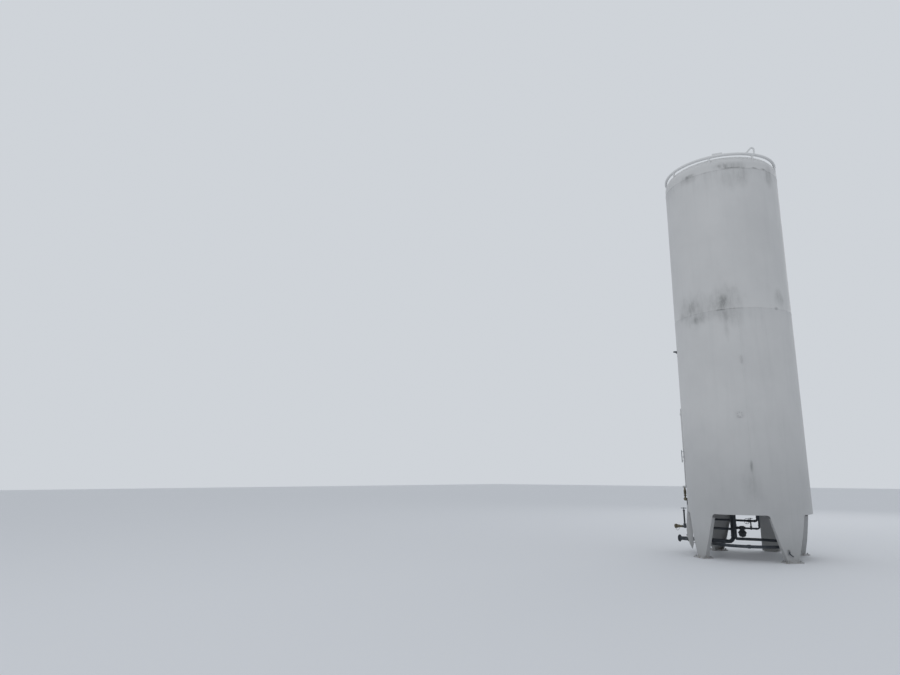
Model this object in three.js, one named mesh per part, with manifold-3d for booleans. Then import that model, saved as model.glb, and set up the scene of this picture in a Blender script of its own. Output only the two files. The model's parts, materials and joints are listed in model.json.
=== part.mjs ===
// Vertical cryogenic gas tank: a dished-end vacuum jacket on four plate legs, with a tube ring
// round its roof and its own pipework. Millimetres, +Z up, ground at Z = 0.
//
// Angles go round the tank axis in degrees: 0 is the front (-Y), 90 is the right (+X).

import * as THREE from "three";
import { mergeVertices } from "three/addons/utils/BufferGeometryUtils.js";
import Module from "manifold-3d";

const wasm = await Module();
wasm.setup();

// Driving dimensions

const JACKET_RADIUS = 1125;
const JACKET_WALL = 8;
const JACKET_BOTTOM = 830;
const MIDDLE_WELD = 4720;
const ROOF_WELD = 7630;
const ROOF_FLANGE = 110;
const BOTTOM_FLANGE = 30;
const CROWN_RATIO = 2;
const KNUCKLE_RATIO = 0.2;
const BOTTOM_HEAD_WELD = 1290;
const GAP = 0.3;

const LEG_ANGLES = { front: -30, right: 60, rear: 150, left: -120 };
const LEG_PLATE = 12;
const LEG_TOP_HALF = 358;
const LEG_KNEE_HALF = 219;
const LEG_KNEE_HEIGHT = 300;
const LEG_FOOT_HALF = 115;
const LEG_CORNER = 70;
const RIB_DEPTH = 90;
const RIB_TOP = 770;
const FOOT_THICKNESS = 20;
const FOOT_HALF_WIDTH = 165;
const FOOT_OUT = 60;
const FOOT_IN = 150;
const OUTLINE_REACH = JACKET_RADIUS * 1.2;

const REAR_PLATE_ANGLE = 183.5;
const REAR_PLATE_HALF = 180;
const REAR_FOOT_WIDTH = 250;
const REAR_FOOT_DEPTH = 110;

const RING_RADIUS = 1101;
const RING_TUBE = 28;
const RING_HEIGHT = 7956;
const POST_COUNT = 8;
const POST_RADIUS = 21;
const POST_FOOT_RISE = 30;
const FIRST_POST = 60;
const LOOP_ANGLES = { front: 60, rear: 240 };
const LOOP_ROD = 17;
const LOOP_HALF = 150;
const LOOP_LEAN = 0.1;
const LOOP_UPRIGHT = 0.35;
const LOOP_BEND = 34;
const LOOP_TOP = 8120;
const CLIP_ANGLE = 23.5;
const CLIP_LENGTH = 200;
const CLIP_THICKNESS = 16;
const CLIP_RISE = 30;

const SIDES_ROUND = 60;
const SIDES_PIPE = 10;
const SIDES_FITTING = 12;
const SIDES_DISC = 24;
const SIDES_NUT = 6;
const BEND_STEPS = 4;
const BEND_RATIO = 2.5;
const WELD_OVERLAP = 20;

// Pipework levels, measured from the ground

const LIQUID_LEVEL = 250;
const FILL_LEVEL = 505;
const BUILD_UP_LEVEL = 530;
const GAS_LEVEL = 660;
const RELIEF_LEVEL = 1310;
const LOWER_BRACKET = 1935;
const UPPER_BRACKET = 2840;
const VENT_TOP = 2960;
const TAP_LEVEL = 4140;

const LIQUID_PIPE = 38;
const FILL_PIPE = 24;
const GAS_PIPE = 21;
const SMALL_PIPE = 17;
const THIN_PIPE = 11;
const COIL_PIPE = 28;

const LIQUID_Y = -40;
const FILL_Y = -192;
const GAS_Y = 90;
const STACK_X = -1265;
const LINE_END_X = -1480;

const COIL_RADIUS = 800;
const COIL_LEVEL = LIQUID_LEVEL;
const COIL_START = -87;
const COIL_END = 176;
const COIL_RETURN_LEVEL = 320;
const COIL_STEPS = 28;
const LEDGE_WIDTH = 60;
const LEDGE_THICKNESS = 10;
const LEDGE_REACH = 45;

const DEGREE = Math.PI / 180;

// Materials

function finish(hex, roughness, metalness) {
  return () => new THREE.MeshStandardMaterial({ color: hex, roughness, metalness });
}

const whitePaint = finish(0xc9cbcb, 0.5, 0.1);
const pipePaint = finish(0x4c5358, 0.55, 0.3);
const bareSteel = finish(0x8d9092, 0.4, 0.8);
const brassFinish = finish(0x8f7a45, 0.45, 0.7);
const platePaint = finish(0xb9bcbd, 0.45, 0.4);

// The assembly

const tank = new THREE.Group();

function add(name, geometry, material) {
  const mesh = new THREE.Mesh(geometry, material());
  mesh.name = name;
  tank.add(mesh);
  return mesh;
}

// Places

function around(angle, radius, height) {
  const turn = angle * DEGREE;
  return new THREE.Vector3(radius * Math.sin(turn), -radius * Math.cos(turn), height);
}

function at(x, y, z) {
  return new THREE.Vector3(x, y, z);
}

// Solids: joined and cut shapes

function solidOf(geometry) {
  const bare = new THREE.BufferGeometry();
  bare.setAttribute("position", geometry.getAttribute("position").clone());
  if (geometry.index) bare.setIndex(geometry.index.clone());
  const merged = mergeVertices(bare, 0.001);
  const index = merged.index.array;
  const corners = [];
  for (let i = 0; i < index.length; i += 3) {
    const [a, b, c] = [index[i], index[i + 1], index[i + 2]];
    if (a !== b && b !== c && c !== a) corners.push(a, b, c);
  }
  return new wasm.Manifold(new wasm.Mesh({
    numProp: 3,
    vertProperties: new Float32Array(merged.getAttribute("position").array),
    triVerts: new Uint32Array(corners),
  }));
}

function geometryOf(solid) {
  const mesh = solid.getMesh();
  const geometry = new THREE.BufferGeometry();
  geometry.setAttribute("position", new THREE.BufferAttribute(mesh.vertProperties, 3));
  geometry.setIndex(new THREE.BufferAttribute(mesh.triVerts, 1));
  geometry.computeVertexNormals();
  return geometry;
}

function fuse(...geometries) {
  return geometries.map(solidOf).reduce((whole, piece) => whole.add(piece));
}

// Turned shapes stand on the tank axis, which is Z

function turned(profile, sides = SIDES_ROUND) {
  const points = profile.map(([radius, height]) => new THREE.Vector2(radius, height));
  return new THREE.LatheGeometry(points, sides).rotateX(Math.PI / 2);
}

function tubeWall(outer, inner, bottom, top, sides = SIDES_ROUND) {
  return turned([[outer, bottom], [outer, top], [inner, top], [inner, bottom], [outer, bottom]], sides);
}

function rod(from, to, radius, sides = SIDES_PIPE) {
  const length = from.distanceTo(to);
  const geometry = new THREE.CylinderGeometry(radius, radius, length, sides);
  const direction = to.clone().sub(from).normalize();
  const turn = new THREE.Quaternion().setFromUnitVectors(new THREE.Vector3(0, 1, 0), direction);
  geometry.applyQuaternion(turn);
  const middle = from.clone().add(to).multiplyScalar(0.5);
  return geometry.translate(middle.x, middle.y, middle.z);
}

function block(width, depth, height, place, turn = 0) {
  const geometry = new THREE.BoxGeometry(width, depth, height);
  geometry.rotateZ(turn * DEGREE);
  return geometry.translate(place.x, place.y, place.z);
}

// A pipe run: straight lengths joined by round bends

class PipeRun extends THREE.Curve {
  constructor(corners, bend) {
    super();
    this.points = [corners[0].clone()];
    this.tangents = [corners[1].clone().sub(corners[0]).normalize()];
    for (let i = 1; i < corners.length - 1; i += 1) {
      this.addBend(corners[i - 1], corners[i], corners[i + 1], bend);
    }
    const last = corners.length - 1;
    this.points.push(corners[last].clone());
    this.tangents.push(corners[last].clone().sub(corners[last - 1]).normalize());
  }

  addBend(before, corner, after, bend) {
    const inward = corner.clone().sub(before).normalize();
    const outward = after.clone().sub(corner).normalize();
    const axis = inward.clone().cross(outward).normalize();
    const sweep = inward.angleTo(outward);
    const start = corner.clone().addScaledVector(inward, -bend * Math.tan(sweep / 2));
    const arm = inward.clone().cross(axis).multiplyScalar(bend);
    const centre = start.clone().sub(arm);
    for (let k = 0; k <= BEND_STEPS; k += 1) {
      const angle = (sweep * k) / BEND_STEPS;
      this.points.push(centre.clone().add(arm.clone().applyAxisAngle(axis, angle)));
      this.tangents.push(inward.clone().applyAxisAngle(axis, angle));
    }
  }

  getPoint(t, target = new THREE.Vector3()) {
    const place = Math.round(t * (this.points.length - 1));
    return target.copy(this.points[place]);
  }

  getTangent(t, target = new THREE.Vector3()) {
    const place = Math.round(t * (this.points.length - 1));
    return target.copy(this.tangents[place]);
  }

  getUtoTmapping(u) {
    return u;
  }
}

class ArcRun extends PipeRun {
  constructor(radius, height, from, to, steps) {
    super([around(from, radius, height), around(to, radius, height)], 0);
    this.points = [];
    this.tangents = [];
    for (let k = 0; k <= steps; k += 1) {
      const angle = from + ((to - from) * k) / steps;
      this.points.push(around(angle, radius, height));
      this.tangents.push(around(angle + 90, 1, 0));
    }
  }
}

function pipeAlong(run, radius, sides = SIDES_PIPE) {
  const section = new THREE.Shape();
  for (let k = 0; k < sides; k += 1) {
    const angle = (2 * Math.PI * k) / sides;
    const point = [radius * Math.cos(angle), radius * Math.sin(angle)];
    if (k === 0) section.moveTo(...point);
    else section.lineTo(...point);
  }
  section.closePath();
  const steps = run.points.length - 1;
  return new THREE.ExtrudeGeometry(section, { steps, extrudePath: run, bevelEnabled: false });
}

function pipe(corners, radius, bend = radius * BEND_RATIO) {
  return pipeAlong(new PipeRun(corners, bend), radius);
}

// Dished end: a crown and a knuckle over a short straight flange

function dishPoints(outerRadius, offset) {
  const crown = outerRadius * CROWN_RATIO;
  const knuckle = outerRadius * KNUCKLE_RATIO;
  const knuckleCentre = outerRadius - knuckle;
  const knuckleEnd = Math.acos(knuckleCentre / (crown - knuckle));
  const crownCentre = -Math.sin(knuckleEnd) * (crown - knuckle);
  const points = [];
  const steps = 4;
  for (let k = 0; k <= steps; k += 1) {
    const angle = (knuckleEnd * k) / steps;
    const reach = knuckle + offset;
    points.push([knuckleCentre + reach * Math.cos(angle), reach * Math.sin(angle)]);
  }
  for (let k = 1; k <= steps; k += 1) {
    const angle = knuckleEnd + ((Math.PI / 2 - knuckleEnd) * k) / steps;
    const reach = crown + offset;
    const radius = k === steps ? 0 : reach * Math.cos(angle);
    points.push([radius, crownCentre + reach * Math.sin(angle)]);
  }
  return points;
}

function dishedEnd(outerRadius, wall, flange) {
  const outside = dishPoints(outerRadius, 0).map(([radius, rise]) => [radius, flange + rise]);
  const inside = dishPoints(outerRadius, -wall).map(([radius, rise]) => [radius, flange + rise]);
  return turned([
    [outerRadius, 0],
    ...outside,
    ...inside.reverse(),
    [outerRadius - wall, 0],
    [outerRadius, 0],
  ]);
}

function dishFill(outerRadius, flange, depth) {
  const outside = dishPoints(outerRadius, 0).map(([radius, rise]) => [radius, flange + rise]);
  return turned([[0, -depth], [outerRadius, -depth], ...outside]);
}

function dishRise(outerRadius) {
  const points = dishPoints(outerRadius, 0);
  return points[points.length - 1][1];
}

// Jacket: two courses and two dished ends

function addJacket() {
  const inside = JACKET_RADIUS - JACKET_WALL;
  add("shell_lower", tubeWall(JACKET_RADIUS, inside, JACKET_BOTTOM, MIDDLE_WELD), whitePaint);
  add("shell_upper", tubeWall(JACKET_RADIUS, inside, MIDDLE_WELD, ROOF_WELD), whitePaint);
  const roof = dishedEnd(JACKET_RADIUS, JACKET_WALL, ROOF_FLANGE).translate(0, 0, ROOF_WELD);
  add("top_head", roof, whitePaint);
  const floor = dishedEnd(inside - GAP, JACKET_WALL, BOTTOM_FLANGE).rotateX(Math.PI);
  add("bottom_head", floor.translate(0, 0, BOTTOM_HEAD_WELD + BOTTOM_FLANGE), whitePaint);
}

// Pipes that come out of the bottom end start inside it and are cut back to its outer face

const BOTTOM_HEAD_RADIUS = JACKET_RADIUS - JACKET_WALL - GAP;
const DROP_DEPTH = 200;
const DROP_TOP = BOTTOM_HEAD_WELD - DROP_DEPTH;
const FILL_DEPTH = 400;

function underHead(geometry) {
  const filled = dishFill(BOTTOM_HEAD_RADIUS + GAP, 0, FILL_DEPTH).rotateX(Math.PI);
  return geometryOf(solidOf(geometry).subtract(solidOf(filled.translate(0, 0, BOTTOM_HEAD_WELD))));
}

function roofFill() {
  return solidOf(dishFill(JACKET_RADIUS + GAP, ROOF_FLANGE, FILL_DEPTH).translate(0, 0, ROOF_WELD));
}

// Legs: curved plates flush with the jacket, narrowing to the foot, with a rib along each edge and
// a ledge that carries the coil

function legEdge() {
  const top = JACKET_BOTTOM;
  const edge = [[LEG_FOOT_HALF, FOOT_THICKNESS], [LEG_KNEE_HALF, LEG_KNEE_HEIGHT]];
  const cornerSteps = 4;
  for (let k = 0; k <= cornerSteps; k += 1) {
    const angle = (Math.PI / 2) * (k / cornerSteps);
    const across = LEG_TOP_HALF + LEG_CORNER * (1 - Math.cos(angle));
    edge.push([across, top - LEG_CORNER + LEG_CORNER * Math.sin(angle)]);
  }
  return edge;
}

function radialPrism(outline, angle) {
  const shape = new THREE.Shape(outline.map(([across, height]) => new THREE.Vector2(across, height)));
  const geometry = new THREE.ExtrudeGeometry(shape, { depth: OUTLINE_REACH, bevelEnabled: false });
  geometry.rotateX(Math.PI / 2);
  geometry.rotateZ(angle * DEGREE);
  return geometry;
}

function coilLedge(angle) {
  const inner = COIL_RADIUS - LEDGE_REACH;
  const outer = JACKET_RADIUS - LEG_PLATE / 2;
  const height = COIL_LEVEL - COIL_PIPE - GAP - LEDGE_THICKNESS / 2;
  return solidOf(block(LEDGE_WIDTH, outer - inner, LEDGE_THICKNESS,
    around(angle, (inner + outer) / 2, height), angle));
}

function addLeg(side, angle) {
  const edge = legEdge();
  const mirrored = edge.map(([across, height]) => [-across, height]).reverse();
  const plate = solidOf(tubeWall(JACKET_RADIUS, JACKET_RADIUS - LEG_PLATE, FOOT_THICKNESS, JACKET_BOTTOM))
    .intersect(solidOf(radialPrism([...edge, ...mirrored], angle)));
  const ribOuter = JACKET_RADIUS - LEG_PLATE / 2;
  const ribWall = solidOf(tubeWall(ribOuter, ribOuter - RIB_DEPTH, FOOT_THICKNESS, RIB_TOP));
  const shifted = edge.map(([across, height]) => [across - LEG_PLATE, height]).reverse();
  const strip = [...edge, ...shifted];
  const otherStrip = strip.map(([across, height]) => [-across, height]).reverse();
  const ribs = ribWall.intersect(solidOf(radialPrism(strip, angle))
    .add(solidOf(radialPrism(otherStrip, angle))));
  const leg = plate.add(ribs);
  const carriesCoil = angle > COIL_START && angle < COIL_END;
  add(`leg_${side}`, geometryOf(carriesCoil ? leg.add(coilLedge(angle)) : leg), whitePaint);
}

function addFoot(side, angle) {
  const middle = JACKET_RADIUS + (FOOT_OUT - FOOT_IN) / 2;
  const centre = around(angle, middle, FOOT_THICKNESS / 2);
  const foot = block(FOOT_HALF_WIDTH * 2, FOOT_OUT + FOOT_IN, FOOT_THICKNESS, centre, angle);
  add(`foot_${side}`, foot, whitePaint);
}

// Rear plate: a straight-sided plate between the two rear legs, flush with the jacket, on its foot

function addRearPlate() {
  const half = REAR_PLATE_HALF;
  const bottom = FOOT_THICKNESS / 2;
  const outline = [[half, bottom], [half, JACKET_BOTTOM], [-half, JACKET_BOTTOM], [-half, bottom]];
  const plate = solidOf(tubeWall(JACKET_RADIUS, JACKET_RADIUS - LEG_PLATE, bottom, JACKET_BOTTOM))
    .intersect(solidOf(radialPrism(outline, REAR_PLATE_ANGLE)));
  const foot = block(REAR_FOOT_WIDTH, REAR_FOOT_DEPTH, FOOT_THICKNESS,
    around(REAR_PLATE_ANGLE, JACKET_RADIUS - LEG_PLATE, FOOT_THICKNESS / 2), REAR_PLATE_ANGLE);
  add("rear_plate", geometryOf(plate.add(solidOf(foot))), whitePaint);
}

// Roof ring: a bent tube on posts that stand on the roof's knuckle

function addTopRing() {
  const tube = new THREE.TorusGeometry(RING_RADIUS, RING_TUBE, 8, SIDES_ROUND);
  let ring = solidOf(tube.translate(0, 0, RING_HEIGHT));
  for (let k = 0; k < POST_COUNT; k += 1) {
    const angle = FIRST_POST + (360 * k) / POST_COUNT;
    const foot = around(angle, RING_RADIUS, ROOF_WELD + ROOF_FLANGE + POST_FOOT_RISE);
    const head = around(angle, RING_RADIUS, RING_HEIGHT);
    ring = ring.add(solidOf(rod(foot, head, POST_RADIUS)));
  }
  add("top_ring", geometryOf(ring.subtract(roofFill())), whitePaint);
}

function ringCutter(clearance) {
  const tube = new THREE.TorusGeometry(RING_RADIUS, RING_TUBE + clearance, 8, SIDES_ROUND);
  return solidOf(tube.translate(0, 0, RING_HEIGHT));
}

function addLiftingLoop(side, angle) {
  const centre = around(angle, RING_RADIUS, 0);
  const along = around(angle + 90, 1, 0);
  const place = (across, height) => centre.clone().addScaledVector(along, across).setZ(height);
  const top = LOOP_TOP - LOOP_ROD;
  const corners = [
    place(-LOOP_HALF, RING_HEIGHT),
    place(-LOOP_HALF * LOOP_LEAN, top),
    place(LOOP_HALF * LOOP_UPRIGHT, top),
    place(LOOP_HALF * LOOP_UPRIGHT, RING_HEIGHT),
  ];
  const loop = solidOf(pipe(corners, LOOP_ROD, LOOP_BEND)).subtract(ringCutter(GAP));
  add(`lifting_loop_${side}`, geometryOf(loop), whitePaint);
}

function addRingClip() {
  const height = RING_HEIGHT + RING_TUBE;
  const centre = around(CLIP_ANGLE, RING_RADIUS, height + (CLIP_RISE - WELD_OVERLAP) / 2);
  const clip = solidOf(block(CLIP_LENGTH, CLIP_THICKNESS, CLIP_RISE + WELD_OVERLAP, centre, CLIP_ANGLE));
  add("ring_clip", geometryOf(clip.subtract(ringCutter(GAP))), whitePaint);
}

// Vacuum relief on the roof: a short nozzle under a loose lid

const RELIEF_NOZZLE_RADIUS = 95;
const RELIEF_NOZZLE_TOP = 90;
const RELIEF_LID_RADIUS = 125;
const RELIEF_LID_THICKNESS = 22;
const RELIEF_CROWN_RADIUS = 38;
const RELIEF_CROWN_RISE = 12;

function addVacuumRelief() {
  const apex = ROOF_WELD + ROOF_FLANGE + dishRise(JACKET_RADIUS);
  const seat = apex + RELIEF_NOZZLE_TOP;
  const nozzle = solidOf(tubeWall(RELIEF_NOZZLE_RADIUS, RELIEF_NOZZLE_RADIUS - JACKET_WALL,
    apex - WELD_OVERLAP, seat, SIDES_DISC));
  add("relief_nozzle", geometryOf(nozzle.subtract(roofFill())), whitePaint);
  const lidTop = seat + RELIEF_LID_THICKNESS;
  const lid = turned([
    [0, seat],
    [RELIEF_LID_RADIUS, seat],
    [RELIEF_LID_RADIUS, lidTop],
    [RELIEF_CROWN_RADIUS, lidTop + RELIEF_CROWN_RISE],
    [0, lidTop + RELIEF_CROWN_RISE],
  ], SIDES_DISC);
  add("relief_lid", lid, bareSteel);
}

// Small fittings on the jacket

const DISC_ANGLE = 23;
const DISC_LEVEL = 2670;
const DISC_RADIUS = 55;
const DISC_OUT = 14;
const TAB_ANGLE = 28.6;
const TAB_LEVEL = 3720;
const TAB_HEIGHT = 140;
const TAB_THICKNESS = 12;
const TAB_OUT = 25;
const CUT_DEPTH = 60;

function jacketCutter(bottom = 0) {
  return solidOf(tubeWall(JACKET_RADIUS + GAP, JACKET_RADIUS - CUT_DEPTH, bottom, ROOF_WELD));
}

function addJacketFittings() {
  const inside = around(DISC_ANGLE, JACKET_RADIUS - WELD_OVERLAP, DISC_LEVEL);
  const outside = around(DISC_ANGLE, JACKET_RADIUS + DISC_OUT, DISC_LEVEL);
  const disc = solidOf(rod(inside, outside, DISC_RADIUS, SIDES_DISC)).subtract(jacketCutter());
  add("vacuum_port", geometryOf(disc), whitePaint);
  const centre = around(TAB_ANGLE, JACKET_RADIUS, TAB_LEVEL);
  const tab = block(TAB_THICKNESS, TAB_OUT * 2, TAB_HEIGHT, centre, TAB_ANGLE);
  add("cable_tab", geometryOf(solidOf(tab).subtract(jacketCutter())), whitePaint);
}

// Brackets that carry the vent pipe off the jacket: a pad, an arm and a collar round the pipe

const BRACKET_ARM = 50;
const BRACKET_THICKNESS = 10;
const BRACKET_PAD = 90;
const BRACKET_PAD_DEPTH = 30;
const COLLAR_WALL = 9;
const COLLAR_HALF = 20;

function bracket(name, pipePlace, height, pipeRadius) {
  const angle = Math.atan2(pipePlace.x, -pipePlace.y) / DEGREE;
  const reach = Math.hypot(pipePlace.x, pipePlace.y);
  const root = JACKET_RADIUS - CUT_DEPTH / 2;
  const arm = block(BRACKET_ARM, reach - root, BRACKET_THICKNESS,
    around(angle, (reach + root) / 2, height), angle);
  const pad = block(BRACKET_PAD, BRACKET_PAD_DEPTH, BRACKET_PAD,
    around(angle, JACKET_RADIUS, height), angle);
  const level = (rise) => pipePlace.clone().setZ(height + rise);
  const collar = rod(level(-COLLAR_HALF), level(COLLAR_HALF), pipeRadius + COLLAR_WALL, SIDES_FITTING);
  const hole = rod(level(-BRACKET_PAD), level(BRACKET_PAD), pipeRadius + GAP, SIDES_FITTING);
  const solid = fuse(arm, pad, collar).subtract(jacketCutter()).subtract(solidOf(hole));
  add(name, geometryOf(solid), whitePaint);
}

// Globe valve: body, end collars, long neck, stem and handwheel. Its sizes are shares of the pipe's
// radius, and the neck points along "up".

const VALVE = {
  half: 2.1,
  collar: 1.05,
  body: 1.45,
  neck: 0.72,
  bonnetLow: 1.5,
  bonnetHigh: 2.1,
  bonnet: 1.35,
  gland: 0.95,
  glandLow: 2.4,
  glandHigh: 1.2,
  stem: 0.3,
  stemEnd: 0.35,
  wheel: 2.4,
  rim: 0.24,
  spokeWidth: 0.42,
  spokeDepth: 0.28,
};
const SPOKE_ANGLES = [0, 60, 120];

function valve(place, size, neck, up = at(0, 0, 1)) {
  const turn = new THREE.Quaternion().setFromUnitVectors(at(0, 0, 1), up);
  const end = at(size * VALVE.half, 0, 0);
  const lift = (height) => at(0, 0, height);
  const wheelRadius = size * VALVE.wheel;
  const spokes = SPOKE_ANGLES.map((angle) =>
    block(wheelRadius * 2, size * VALVE.spokeWidth, size * VALVE.spokeDepth, lift(neck), angle));
  const pieces = [
    rod(end.clone().negate(), end, size * VALVE.collar, SIDES_FITTING),
    new THREE.SphereGeometry(size * VALVE.body, SIDES_FITTING, SIDES_FITTING / 2).rotateX(Math.PI / 2),
    rod(lift(0), lift(neck - size * VALVE.half), size * VALVE.neck, SIDES_PIPE),
    rod(lift(size * VALVE.bonnetLow), lift(size * VALVE.bonnetHigh), size * VALVE.bonnet, SIDES_FITTING),
    rod(lift(neck - size * VALVE.glandLow), lift(neck - size * VALVE.glandHigh), size * VALVE.gland,
      SIDES_PIPE),
    rod(lift(neck - size * VALVE.half), lift(neck + size * VALVE.stemEnd), size * VALVE.stem, 8),
    new THREE.TorusGeometry(wheelRadius, size * VALVE.rim, 5, 15).translate(0, 0, neck),
    ...spokes,
  ];
  return fuse(...pieces.map((piece) =>
    piece.applyQuaternion(turn).translate(place.x, place.y, place.z)));
}

function flange(centre, direction, radius, thickness) {
  const half = direction.clone().multiplyScalar(thickness / 2);
  return solidOf(rod(centre.clone().sub(half), centre.clone().add(half), radius, SIDES_DISC));
}

// Liquid outlet: from the bottom end down, then out to the left at the lowest level

const LIQUID_DROP_X = -330;
const LIQUID_NECK = 250;
const OUTLET_FLANGE = 72;
const OUTLET_FLANGE_THICKNESS = 18;
const OUTLET_BORE = 30;
const OUTLET_BORE_DEPTH = 95;

function addLiquidLine() {
  const half = LIQUID_PIPE * VALVE.half;
  const level = (x) => at(x, LIQUID_Y, LIQUID_LEVEL);
  const inner = pipe([
    at(LIQUID_DROP_X, LIQUID_Y, DROP_TOP),
    level(LIQUID_DROP_X),
    level(STACK_X + half + GAP),
  ], LIQUID_PIPE);
  add("liquid_line", underHead(inner), pipePaint);
  add("liquid_valve", geometryOf(valve(level(STACK_X), LIQUID_PIPE, LIQUID_NECK)), pipePaint);
  const stub = rod(level(STACK_X - half - GAP), level(LINE_END_X), LIQUID_PIPE);
  const plate = flange(level(LINE_END_X), at(-1, 0, 0), OUTLET_FLANGE, OUTLET_FLANGE_THICKNESS);
  const bore = rod(level(LINE_END_X + OUTLET_BORE_DEPTH), level(LINE_END_X - OUTLET_FLANGE_THICKNESS),
    OUTLET_BORE, 16);
  add("liquid_flange", geometryOf(solidOf(stub).add(plate).subtract(solidOf(bore))), pipePaint);
}

// Fill line: out to the left above the liquid line, with the tall fill valve and a capped coupling

const FILL_DROP_X = -205;
const FILL_NECK = 370;
const COUPLING_NUT = 36;
const COUPLING_NUT_LENGTH = 80;
const COUPLING_CAP = 44;
const COUPLING_CAP_LENGTH = 49;
const COUPLING_NUT_SETBACK = 10;
const COUPLING_END = LINE_END_X - 9;

function addFillLine() {
  const half = FILL_PIPE * VALVE.half;
  const level = (x) => at(x, FILL_Y, FILL_LEVEL);
  const line = pipe([
    at(FILL_DROP_X, FILL_Y, DROP_TOP),
    level(FILL_DROP_X),
    level(STACK_X + half + GAP),
  ], FILL_PIPE);
  add("fill_line", underHead(line), pipePaint);
  add("fill_valve", geometryOf(valve(level(STACK_X), FILL_PIPE, FILL_NECK)), pipePaint);
  const nutEnd = LINE_END_X + COUPLING_NUT_SETBACK;
  const coupling = fuse(
    rod(level(STACK_X - half - GAP), level(LINE_END_X), FILL_PIPE),
    rod(level(nutEnd + COUPLING_NUT_LENGTH), level(nutEnd), COUPLING_NUT, SIDES_NUT),
    rod(level(COUPLING_END + COUPLING_CAP_LENGTH), level(COUPLING_END), COUPLING_CAP, 16),
  );
  add("fill_coupling", geometryOf(coupling), brassFinish);
}

// Gas line: through its shut-off valve and out to the left, up to the changeover valve

const GAS_DROP_X = 120;
const GAS_VALVE_X = -35;
const GAS_NECK = 130;
const GAS_TURN_X = -560;
const GAS_RISER_X = -1225;
const GAS_RISER_Y = -75;
const CHANGEOVER_LEVEL = 1060;
const CHANGEOVER_FOOT = 40;

function addGasLine() {
  const half = GAS_PIPE * VALVE.half;
  const level = (x) => at(x, GAS_Y, GAS_LEVEL);
  const riser = (height) => at(GAS_RISER_X, GAS_RISER_Y, height);
  const drop = pipe([
    at(GAS_DROP_X, GAS_Y, DROP_TOP),
    level(GAS_DROP_X),
    level(GAS_VALVE_X + half + GAP),
  ], GAS_PIPE);
  add("gas_drop", underHead(drop), pipePaint);
  const toFront = at(0, -1, 0);
  add("gas_valve", geometryOf(valve(level(GAS_VALVE_X), GAS_PIPE, GAS_NECK, toFront)), pipePaint);
  const line = pipe([
    level(GAS_VALVE_X - half - GAP),
    level(GAS_TURN_X),
    riser(GAS_LEVEL),
    riser(CHANGEOVER_LEVEL - CHANGEOVER_FOOT - GAP),
  ], GAS_PIPE);
  add("gas_line", line, pipePaint);
}

// Changeover valve with two safety valves on it, under the relief header

const CHANGEOVER = { inlet: 26, inletTop: 20, body: 24, half: 70, outlet: 19, rise: 45 };
const CHANGEOVER_STEM = { radius: 12, reach: 105, knob: 34, knobLength: 20 };
const SAFETY_HALF = 46;
const SAFETY = { stem: 17, nut: 25, nutLow: 12, nutHigh: 40, bonnet: 27, bonnetLow: 55, bonnetTop: 25 };
const HEADER_RADIUS = 21;
const HEADER_HALF = 85;
const VENT_RADIUS = GAS_PIPE + 3;
const VENT_BORE_DEPTH = 180;

function reliefPlace(across, height) {
  return at(GAS_RISER_X + across, GAS_RISER_Y, height);
}

function addReliefGroup() {
  const level = CHANGEOVER_LEVEL;
  const outlet = (across) => rod(reliefPlace(across, level), reliefPlace(across, level + CHANGEOVER.rise),
    CHANGEOVER.outlet);
  const middle = reliefPlace(0, level);
  const ahead = (reach) => middle.clone().add(at(0, -reach, 0));
  const changeover = fuse(
    rod(reliefPlace(0, level - CHANGEOVER_FOOT), reliefPlace(0, level + CHANGEOVER.inletTop),
      CHANGEOVER.inlet, SIDES_FITTING),
    rod(reliefPlace(-CHANGEOVER.half, level), reliefPlace(CHANGEOVER.half, level), CHANGEOVER.body,
      SIDES_FITTING),
    outlet(-SAFETY_HALF),
    outlet(SAFETY_HALF),
    rod(ahead(CHANGEOVER_STEM.reach), middle, CHANGEOVER_STEM.radius, 8),
    rod(ahead(CHANGEOVER_STEM.reach), ahead(CHANGEOVER_STEM.reach - CHANGEOVER_STEM.knobLength),
      CHANGEOVER_STEM.knob, 16),
  );
  add("changeover_valve", geometryOf(changeover), brassFinish);
  addSafetyValve("safety_valve_a", -SAFETY_HALF);
  addSafetyValve("safety_valve_b", SAFETY_HALF);
}

function addSafetyValve(name, across) {
  const foot = CHANGEOVER_LEVEL + CHANGEOVER.rise + GAP;
  const head = RELIEF_LEVEL - HEADER_RADIUS;
  const level = (height) => reliefPlace(across, height);
  const body = fuse(
    rod(level(foot), level(head), SAFETY.stem),
    rod(level(foot + SAFETY.nutLow), level(foot + SAFETY.nutHigh), SAFETY.nut, SIDES_NUT),
    rod(level(foot + SAFETY.bonnetLow), level(head - SAFETY.bonnetTop), SAFETY.bonnet, SIDES_FITTING),
  );
  const header = rod(reliefPlace(-HEADER_HALF * 2, RELIEF_LEVEL), reliefPlace(HEADER_HALF * 2, RELIEF_LEVEL),
    HEADER_RADIUS + GAP, SIDES_FITTING);
  add(name, geometryOf(body.subtract(solidOf(header))), brassFinish);
}

// Relief header and vent pipe: a crossbar over the safety valves and a tall open pipe

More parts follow.
